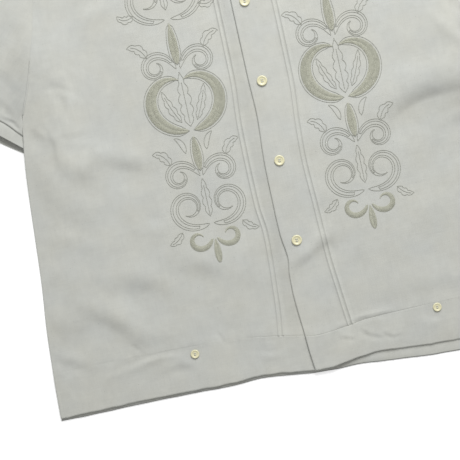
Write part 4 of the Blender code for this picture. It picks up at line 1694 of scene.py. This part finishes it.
@dataclass(frozen=True)
class Button:
    """A round button with a raised rim, a dished middle, four holes and its thread."""

    node: str
    shell: Material
    sides: int = 48
    hole_share: float = 0.085
    hole_place: float = 0.19
    thinness: float = 0.56
    profile: tuple[Point, ...] = (
        (0.0, 0.0), (0.70, 0.0), (0.86, 0.06), (0.96, 0.24), (1.0, 0.48), (0.985, 0.72),
        (0.93, 0.92), (0.85, 1.0), (0.77, 0.97), (0.70, 0.86), (0.64, 0.72), (0.55, 0.64),
        (0.30, 0.60), (0.0, 0.60),
    )

    def build(self) -> None:
        """Makes the button, with its four holes."""
        low, high = (Vector(corner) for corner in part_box(self.node))
        middle, radius = (low + high) / 2, (high.x - low.x) / 2
        thick = self.thinness * (high.z - low.z)
        work = bmesh.new()
        line = [work.verts.new((r * radius, 0.0, z * thick)) for r, z in self.profile]
        edges = [work.edges.new(pair) for pair in zip(line, line[1:])]
        bmesh.ops.spin(work, geom=line + edges, cent=(0, 0, 0), axis=(0, 0, 1),
                       angle=2 * math.pi, steps=self.sides, use_merge=True)
        bmesh.ops.remove_doubles(work, verts=work.verts, dist=1e-6)
        bmesh.ops.recalc_face_normals(work, faces=work.faces)
        mesh = bpy.data.meshes.new(f"{self.node}_shell")
        work.to_mesh(mesh)
        work.free()
        mesh.materials.append(self.shell)
        piece = add_object(mesh.name, mesh)
        self.drill(piece, radius, thick)
        piece.data.transform(Matrix.Translation((middle.x, middle.y, low.z)))
        piece.data.shade_smooth()
        piece.data.set_sharp_from_angle(angle=math.radians(40.0))
        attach(piece, "root")
        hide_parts(self.node)
        log.info("%s: %d faces", piece.name, len(piece.data.polygons))

    def holes(self, radius: float) -> list[Point]:
        """Places of the four holes from the button's middle."""
        away = self.hole_place * radius
        return [(sx * away, sy * away) for sx in (-1, 1) for sy in (-1, 1)]

    def drill(self, piece: Object, radius: float, thick: float) -> None:
        """Cuts the four holes through the button.

        Args:
            piece: the button.
            radius: its radius in metres.
            thick: its thickness in metres.
        """
        work = bmesh.new()
        for x, y in self.holes(radius):
            made = bmesh.ops.create_cone(work, cap_ends=True, segments=16, depth=thick * 3,
                                         radius1=self.hole_share * radius,
                                         radius2=self.hole_share * radius)
            bmesh.ops.translate(work, verts=made["verts"], vec=(x, y, thick / 2))
        mesh = bpy.data.meshes.new("drill")
        work.to_mesh(mesh)
        work.free()
        cutter = add_object("drill", mesh)
        cut = piece.modifiers.new("holes", "BOOLEAN")
        cut.object = cutter
        bake(piece)
        bpy.data.objects.remove(cutter, do_unlink=True)


class PathTree(Graph):
    """A Geometry Nodes tree that dresses paths with something small, and its named inputs."""

    def __init__(self, name: str, inputs: dict[str, str]) -> None:
        """Starts a tree whose paths are the piece's own edges.

        Args:
            name: the tree's name.
            inputs: each input's name and kind of socket.
        """
        super().__init__(bpy.data.node_groups.new(name, "GeometryNodeTree"))
        faces = self.tree.interface
        faces.new_socket("Geometry", in_out="OUTPUT", socket_type="NodeSocketGeometry")
        faces.new_socket("Geometry", in_out="INPUT", socket_type="NodeSocketGeometry")
        self.keys = {key: faces.new_socket(key, in_out="INPUT", socket_type=kind).identifier
                     for key, kind in inputs.items()}
        self.given = self.node("NodeGroupInput").outputs
        paths = self.node("GeometryNodeMeshToCurve", None, {0: self.given["Geometry"]})
        self.curve = paths.outputs[0]

    def close(self, geometry: NodeSocket) -> None:
        """Ends the tree: instances made real, then its material."""
        real = self.node("GeometryNodeRealizeInstances", None, {0: geometry}).outputs[0]
        dressed = self.node("GeometryNodeSetMaterial", None,
                            {"Geometry": real, "Material": self.given["Material"]})
        self.node("NodeGroupOutput", None, {0: dressed.outputs[0]})

    def grow(self, name: str, place: Place, lines: Sequence[Array], slot: Slot,
             **values: Any) -> Object:
        """Makes a piece by running the tree on lines of the plan.

        Args:
            name: the piece's name.
            place: turns the plan to the frame.
            lines: each line's points, in millimetres.
            slot: not used.
            values: the tree's inputs, by name.

        Returns:
            The piece, a plain mesh.
        """
        edges, first = [], 0
        for line in lines:
            edges += [(first + k, first + k + 1) for k in range(len(line) - 1)]
            first += len(line)
        paths = bpy.data.meshes.new(f"{name}_paths")
        paths.from_pydata(place.metres(np.concatenate(lines)).tolist(), edges, [])
        piece = add_object(name, paths)
        modifier = piece.modifiers.new("work", "NODES")
        modifier.node_group = self.tree
        for key, value in values.items():
            modifier[self.keys[key]] = value
        bake(piece)
        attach(piece, "root")
        log.info("%s: %d faces", name, len(piece.data.polygons))
        return piece


class StitchTree(PathTree):
    """Sets stitches one after another along each path, each a little out of line."""

    def __init__(self) -> None:
        """Builds the tree."""
        super().__init__("sewing_stitches", {
            "Pitch": "NodeSocketFloat", "Length": "NodeSocketFloat", "Width": "NodeSocketFloat",
            "Height": "NodeSocketFloat", "Seed": "NodeSocketInt", "Material": "NodeSocketMaterial",
        })
        points = self.node("GeometryNodeResampleCurve", {"mode": "LENGTH"},
                           {"Curve": self.curve, "Length": self.given["Pitch"]})
        grain = self.node("GeometryNodeMeshUVSphere", None,
                          {"Segments": 6, "Rings": 3, "Radius": 0.5})
        size = self.node("ShaderNodeCombineXYZ", None, {
            0: self.given["Length"], 1: self.given["Width"], 2: self.given["Height"]})
        uneven = self.node("FunctionNodeRandomValue", {"data_type": "FLOAT_VECTOR"}, {
            0: (0.9, 0.88, 0.9), 1: (1.1, 1.12, 1.1), "Seed": self.given["Seed"]})
        scale = self.node("ShaderNodeVectorMath", {"operation": "MULTIPLY"}, {
            0: size.outputs[0], 1: uneven.outputs[0]})
        off_line = self.node("FunctionNodeRandomValue", {"data_type": "FLOAT_VECTOR"}, {
            0: (-0.09, -0.09, -0.03), 1: (0.09, 0.09, 0.03), "Seed": self.given["Seed"]})
        tangent = self.node("GeometryNodeInputTangent").outputs[0]
        heading = self.node("ShaderNodeVectorMath", {"operation": "ADD"}, {
            0: tangent, 1: off_line.outputs[0]})
        turned = self.node("FunctionNodeAlignRotationToVector", {"axis": "X"},
                           {"Vector": heading.outputs[0]})
        made = self.node("GeometryNodeInstanceOnPoints", None, {
            "Points": points.outputs[0], "Instance": grain.outputs[0],
            "Rotation": turned.outputs[0], "Scale": scale.outputs[0]})
        real = self.node("GeometryNodeRealizeInstances", None, {0: made.outputs[0]})
        self.close(self.node("GeometryNodeSetShadeSmooth", None, {0: real.outputs[0]}).outputs[0])


class ThreadTree(PathTree):
    """Lays a thread of even thickness along each path."""

    def __init__(self) -> None:
        """Builds the tree."""
        super().__init__("satin_threads", {
            "Radius": "NodeSocketFloat", "Sides": "NodeSocketInt", "Material": "NodeSocketMaterial",
        })
        profile = self.node("GeometryNodeCurvePrimitiveCircle", None, {
            "Resolution": self.given["Sides"], "Radius": self.given["Radius"]})
        made = self.node("GeometryNodeCurveToMesh", None, {
            "Curve": self.curve, "Profile Curve": profile.outputs[0], "Fill Caps": True})
        self.close(self.node("GeometryNodeSetShadeSmooth", None, {0: made.outputs[0]}).outputs[0])


@dataclass(frozen=True)
class Frond:
    """A leaf, drop or scroll of the ornament, along a spine that curls towards its tip."""

    across: float
    up: float
    heading: float
    length: float
    turn: float
    width: float
    work: Stitch
    broad: float = 0.4
    curl: float = 0.5
    lobes: int = 0
    twin: bool = True

    def spine(self, count: int = 61) -> tuple[Array, Array, Array]:
        """The spine: shares of its length, its points, and the directions across it.

        Args:
            count: how many points it has.

        Returns:
            The shares, the points and the directions.
        """
        share = np.linspace(0.0, 1.0, count)
        turned = share * (1.0 - self.curl) + self.curl * share ** 2
        angle = np.radians(self.heading + self.turn * turned)
        pace = self.length / (count - 1)
        way = np.column_stack([np.cos(angle), np.sin(angle)])
        points = np.cumsum(way * pace, axis=0) - way * pace
        return share, points + (self.across, self.up), np.column_stack([-way[:, 1], way[:, 0]])

    def half_width(self, share: Array, more: float = 0.0) -> Array:
        """Half its width along the spine, with lobes where it has them.

        Args:
            share: places along the spine.
            more: what is added, but for the ends.

        Returns:
            Half the width at each.
        """
        power = 1.5
        low = (share / self.broad) ** (self.broad * power)
        high = ((1.0 - share) / (1.0 - self.broad)) ** ((1.0 - self.broad) * power)
        half = self.width / 2 * low * high
        if self.lobes:
            half = half * (0.72 + 0.42 * np.abs(np.sin(math.pi * self.lobes * share)))
        return half + more * smooth(share / 0.1) * smooth((1.0 - share) / 0.1)

    def contour(self, more: float = 0.0, scale: float = 1.0,
                ends: tuple[float, float] = (0.0, 1.0)) -> Array:
        """A line all round it.

        Args:
            more: how much wider the line runs than the leaf's edge.
            scale: how wide it is, against the leaf.
            ends: where along the spine it starts and ends.

        Returns:
            Its points, the first one also last.
        """
        share, points, across = self.spine(121)
        half = (scale * self.half_width(share, more))[:, None]
        kept = (share >= ends[0]) & (share <= ends[1])
        out, back = (points + across * half)[kept], (points - across * half)[kept][::-1]
        return np.concatenate([out, back, out[:1]])

    def lines(self, border: float) -> list[Array]:
        """The lines of outline stitches that its work needs.

        Args:
            border: how far a border lies outside the leaf.

        Returns:
            Each line's points.
        """
        if self.work is Stitch.SATIN:
            return []
        lines = [self.contour(border if self.work is Stitch.BORDERED else 0.0)]
        if self.work is Stitch.DOUBLE:
            lines.append(self.contour(scale=0.42, ends=(0.1, 0.86)))
        if self.work is Stitch.VEINED:
            lines.append(self.spine(61)[1][4:49])
        return lines

    def veined(self) -> bool:
        """Whether it is wide enough to be worked in two halves that meet at a vein."""
        return self.width > 6.0

    def threads(self, spacing: float, slant: float, draw: np.random.Generator) -> list[Array]:
        """Satin threads across it, each a row of points with a height over the cloth.

        Args:
            spacing: distance between threads.
            slant: how far a thread's end runs ahead of its start.
            draw: draws each thread's small unevenness.

        Returns:
            The threads.
        """
        share, points, across = self.spine(121)
        lines = []
        arch = np.array((0.0, 0.3, 0.7, 1.0))
        spans = [(-1.0, 0.0), (1.0, 0.0)] if self.veined() else [(-1.0, 1.0)]
        for at in np.arange(spacing, self.length - spacing, spacing) / self.length:
            ahead = min(at + slant / self.length, 0.995)
            along = mix(ahead, at, arch) if self.veined() else mix(at, ahead, arch)
            for start, end in spans:
                line = []
                for s, part in zip(along, mix(start, end, arch)):
                    half = self.half_width(np.array(s)) * part * draw.uniform(0.97, 1.03)
                    line.append([np.interp(s, share, points[:, k])
                                 + np.interp(s, share, across[:, k]) * half for k in range(2)])
                rise = 0.12 + 0.38 * np.sin(math.pi * arch) ** 0.6 + draw.uniform(-0.04, 0.04)
                lines.append(np.column_stack([np.array(line), rise]))
        return lines


@dataclass
class Embroidery:
    """A tall ornament of leaves and scrolls worked up each front, beside its tucks."""

    place: Place
    outline_thread: Material
    fill_thread: Material
    stitches: StitchTree
    threads: ThreadTree
    axis: float = 87.0
    spacing: float = 0.5
    thread_radius: float = 0.27
    slant: float = 1.6
    border: float = 1.9
    outline_pitch: float = 1.7
    outline_size: tuple[float, float, float] = (2.1, 0.92, 0.62)
    fronds: tuple[Frond, ...] = (
        Frond(0, 166.5, -90, 27, 0, 7.5, Stitch.SATIN, 0.62, twin=False),
        Frond(2.5, 167.5, -66, 52, 320, 6, Stitch.SATIN, 0.4, curl=0.55),
        Frond(3, 183.5, -16, 112, 415, 8.6, Stitch.DOUBLE, 0.36, curl=0.62),
        Frond(34, 179.5, -58, 20, 62, 7.5, Stitch.VEINED, 0.42, lobes=3),
        Frond(0, 192, 90, 42, 0, 9, Stitch.VEINED, 0.42, lobes=4, twin=False),
        Frond(2, 238, 66, 84, -410, 8.2, Stitch.DOUBLE, 0.4, curl=0.7),
        Frond(0, 243, 90, 38, 0, 9, Stitch.BORDERED, 0.45, twin=False),
        Frond(31, 255, 74, 25, -82, 9.5, Stitch.VEINED, 0.42, lobes=3),
        Frond(12, 265, 88, 21, -62, 5.5, Stitch.OUTLINE, 0.45),
        Frond(3, 288, 4, 104, 205, 12.5, Stitch.BORDERED, 0.42, curl=0.35),
        Frond(0, 293, 90, 60, 0, 13, Stitch.VEINED, 0.4, lobes=5, twin=False),
        Frond(9, 299, 62, 40, 16, 8, Stitch.VEINED, 0.42, lobes=4),
        Frond(2.5, 358, 72, 86, -410, 8.2, Stitch.DOUBLE, 0.4, curl=0.7),
        Frond(32, 376, 70, 26, -82, 9.5, Stitch.VEINED, 0.42, lobes=3),
        Frond(0, 362, 90, 46, 0, 9.5, Stitch.BORDERED, 0.42, twin=False),
        Frond(4, 413, -8, 118, 395, 8.8, Stitch.DOUBLE, 0.38, curl=0.6),
        Frond(0, 424, 90, 40, 0, 9, Stitch.VEINED, 0.42, lobes=4, twin=False),
        Frond(37, 424, -34, 20, 112, 8, Stitch.VEINED, 0.42, lobes=3),
        Frond(3, 470, 16, 72, 180, 10, Stitch.BORDERED, 0.44, curl=0.35),
        Frond(0, 474, 90, 36, 0, 10, Stitch.VEINED, 0.45, lobes=4, twin=False),
        Frond(0, 520, 90, 20, 0, 7, Stitch.SATIN, 0.4, twin=False),
    )

    def on_cloth(self, front: Front, line: Array, mirror: float, rise: Any) -> Array:
        """A line of the ornament's own plan, laid on a front."""
        x = front.side.value * (self.axis + mirror * line[:, 0])
        return np.column_stack([x, line[:, 1], rise])

    def laid(self, front: Front, lines: list[Array]) -> list[Array]:
        """Lifts lines by the height of the cloth under them."""
        points = np.concatenate(lines)
        points[:, 2] += front.top(points[:, 0], points[:, 1])
        ends = np.cumsum([len(line) for line in lines])[:-1]
        return np.split(points, ends)

    def build(self, front: Front, seed: int) -> None:
        """Works the ornament on one front.

        Args:
            front: the front.
            seed: draws the threads' unevenness.
        """
        draw = np.random.default_rng(seed)
        outlines, fills = [], []
        for frond in self.fronds:
            for mirror in (1.0, -1.0) if frond.twin else (1.0,):
                for line in frond.lines(self.border):
                    outlines.append(self.on_cloth(front, line, mirror, np.full(len(line), 0.12)))
                if frond.work in (Stitch.SATIN, Stitch.BORDERED):
                    for line in frond.threads(self.spacing, self.slant, draw):
                        fills.append(self.on_cloth(front, line, mirror, line[:, 2]))
        length, width, height = (size * MM for size in self.outline_size)
        self.stitches.grow(
            f"embroidery_outline_{front.side.word}", self.place, self.laid(front, outlines),
            Slot.THREAD, Pitch=self.outline_pitch * MM, Length=length, Width=width,
            Height=height, Seed=seed, Material=self.outline_thread)
        self.threads.grow(
            f"embroidery_fill_{front.side.word}", self.place, self.laid(front, fills),
            Slot.THREAD, Radius=self.thread_radius * MM, Sides=4, Material=self.fill_thread)


@dataclass
class Sewing:
    """The rows of stitching on the tucks, the bands, the sleeves' hems and the collar."""

    place: Place
    thread: Material
    stitches: StitchTree
    sink: float = 0.08
    pitch: float = 2.4
    width: float = 0.42
    height: float = 0.4

    def build(self, name: str, lines: Sequence[Array], seed: int) -> None:
        """Sews along lines.

        Args:
            name: the piece's name.
            lines: points on the cloth.
            seed: draws the stitches' unevenness.
        """
        lines = [line - (0.0, 0.0, self.sink) for line in lines]
        self.stitches.grow(name, self.place, lines, Slot.LINEN, Pitch=self.pitch * MM,
                           Length=0.8 * self.pitch * MM, Width=self.width * MM,
                           Height=self.height * MM, Seed=seed, Material=self.thread)


@dataclass(frozen=True)
class Studio:
    """The white surface, the soft light from the picture's top, and the camera over it all."""

    place: Place
    aim: Point = (-69.3, 171.7)
    tilt: float = math.radians(12.3)
    view_width: float = 0.506
    camera_height: float = 1.3
    sensor: float = 36.0
    cloth_level: float = 0.004
    floor_half: float = 3.0
    key_azimuth: float = math.radians(70.0)
    key_elevation: float = math.radians(38.0)
    key_away: float = 2.2
    key_size: float = 1.1
    key_power: float = 52.0
    sky: Colour = (1.0, 1.0, 1.0, 1.0)
    sky_strength: float = 0.46

    def target(self) -> Vector:
        """The point that the picture's middle shows."""
        x, y, _ = self.place.metres(np.array((*self.aim, 0.0)))
        return Vector((x, y, self.cloth_level))

    def add_camera(self) -> None:
        """Sets the camera straight over the shirt, turned as the photograph is."""
        data = bpy.data.cameras.new("camera")
        data.sensor_width = self.sensor
        data.lens = self.sensor * self.camera_height / self.view_width
        data.clip_start, data.clip_end = 0.05, 20.0
        camera = add_object("camera", data)
        camera.location = self.target() + Vector((0.0, 0.0, self.camera_height))
        camera.rotation_euler = (0.0, 0.0, -self.tilt)
        bpy.context.scene.camera = camera

    def add_light(self) -> None:
        """Adds the key light and the pale sky."""
        data = bpy.data.lights.new("key", "AREA")
        data.shape, data.size, data.energy = "SQUARE", self.key_size, self.key_power
        key = add_object("key", data)
        flat = self.key_away * math.cos(self.key_elevation)
        offset = Vector((flat * math.cos(self.key_azimuth), flat * math.sin(self.key_azimuth),
                         self.key_away * math.sin(self.key_elevation)))
        key.location = self.target() + offset
        key.rotation_mode = "QUATERNION"
        key.rotation_quaternion = offset.to_track_quat("Z", "Y")
        world = bpy.data.worlds.new("sky")
        world.use_nodes = True
        back = next(n for n in world.node_tree.nodes if n.type == "BACKGROUND")
        back.inputs["Color"].default_value = self.sky
        back.inputs["Strength"].default_value = self.sky_strength
        bpy.context.scene.world = world
        bpy.context.scene.view_settings.view_transform = "Standard"

    def add_floor(self, finish: Material) -> None:
        """Adds the surface that the shirt lies on."""
        half = self.floor_half
        mesh = bpy.data.meshes.new("floor")
        corners = [(-half, -half, 0.0), (half, -half, 0.0), (half, half, 0.0), (-half, half, 0.0)]
        mesh.from_pydata(corners, [], [(0, 1, 2, 3)])
        mesh.materials.append(finish)
        add_object("floor", mesh)


def button_threads(place: Place, buttons: Sequence[Button]) -> list[Array]:
    """Two bars of thread through each button's holes, in the plan.

    Args:
        place: turns the plan to the frame.
        buttons: the buttons.

    Returns:
        Each bar's points.
    """
    lines = []
    for button in buttons:
        low, high = (Vector(corner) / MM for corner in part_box(button.node))
        x, y = (low.x + high.x) / 2 - place.x, (low.y + high.y) / 2 - place.y
        away = button.hole_place * (high.x - low.x) / 2
        seat = mix(low.z, high.z, button.thinness * button.profile[-1][1])
        for side in (-1, 1):
            for turn in (-0.2, 0.2):
                reach = np.array((-1.0, -0.9, -0.35, 0.35, 0.9, 1.0)) * away
                rise = np.array((-0.8, 0.05, 0.28, 0.28, 0.05, -0.8)) + seat
                lines.append(np.column_stack([x + reach, np.full(6, y + side * away + turn), rise]))
    return lines


def main() -> None:
    """Dresses the shirt, piece by piece."""
    logging.basicConfig(level=logging.INFO, format="%(name)s: %(message)s")
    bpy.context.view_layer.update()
    pattern = Pattern()
    place = Place.from_button("front_button_1", pattern.first_button)
    linen = LinenFinish("linen").build()
    sleeve_linen = LinenFinish("linen_sleeve_right", math.radians(42.0)).build()
    other_linen = LinenFinish("linen_sleeve_left", math.radians(-42.0)).build()
    outline_thread, fill_thread, sewing_thread = (
        ThreadFinish(name, dark, light).build() for name, dark, light in (
            ("thread_grey", (0.295, 0.30, 0.262, 1.0), (0.39, 0.395, 0.35, 1.0)),
            ("thread_khaki", (0.365, 0.368, 0.30, 1.0), (0.49, 0.494, 0.41, 1.0)),
            ("thread_linen", (0.47, 0.48, 0.45, 1.0), (0.56, 0.57, 0.53, 1.0)),
        ))
    shell = ButtonFinish().build()
    stitches, threads = StitchTree(), ThreadTree()

    fronts = {side: Front(place, pattern, linen, side=side) for side in Side}
    Back(place, pattern, linen).build()
    for front in fronts.values():
        front.build()
    sleeves = [Sleeve(place, pattern, finish, side=side, body=fronts[side])
               for side, finish in ((Side.RIGHT, sleeve_linen), (Side.LEFT, other_linen))]
    for sleeve in sleeves:
        sleeve.build()
    collar = Collar(place, pattern, linen, body=fronts[Side.LEFT])
    collar.build()

    names = [f"front_button_{k}" for k in range(1, 6)] + ["hem_button_right", "hem_button_left"]
    buttons = [Button(name, shell) for name in names]
    for button in buttons:
        button.build()
    threads.grow("button_threads", place, button_threads(place, buttons), Slot.THREAD,
                 Radius=0.3 * MM, Sides=6, Material=sewing_thread)

    embroidery = Embroidery(place, outline_thread, fill_thread, stitches, threads)
    for seed, front in enumerate(fronts.values()):
        embroidery.build(front, 40 + seed)
    sewing = Sewing(place, sewing_thread, stitches)
    for seed, front in enumerate(fronts.values()):
        sewing.build(f"tuck_stitches_{front.side.word}", front.tuck_lines(), 10 + seed)
        sewing.build(f"band_stitches_{front.side.word}", front.seam_line(), 20 + seed)
    sewing.build("sleeve_hem_stitches", [line for s in sleeves for line in s.hem_line()], 31)
    sewing.build("collar_stitches", collar.stitch_line(), 32)

    studio = Studio(place)
    studio.add_floor(FloorFinish().build())
    studio.add_camera()
    studio.add_light()


if __name__ == "__main__":
    main()
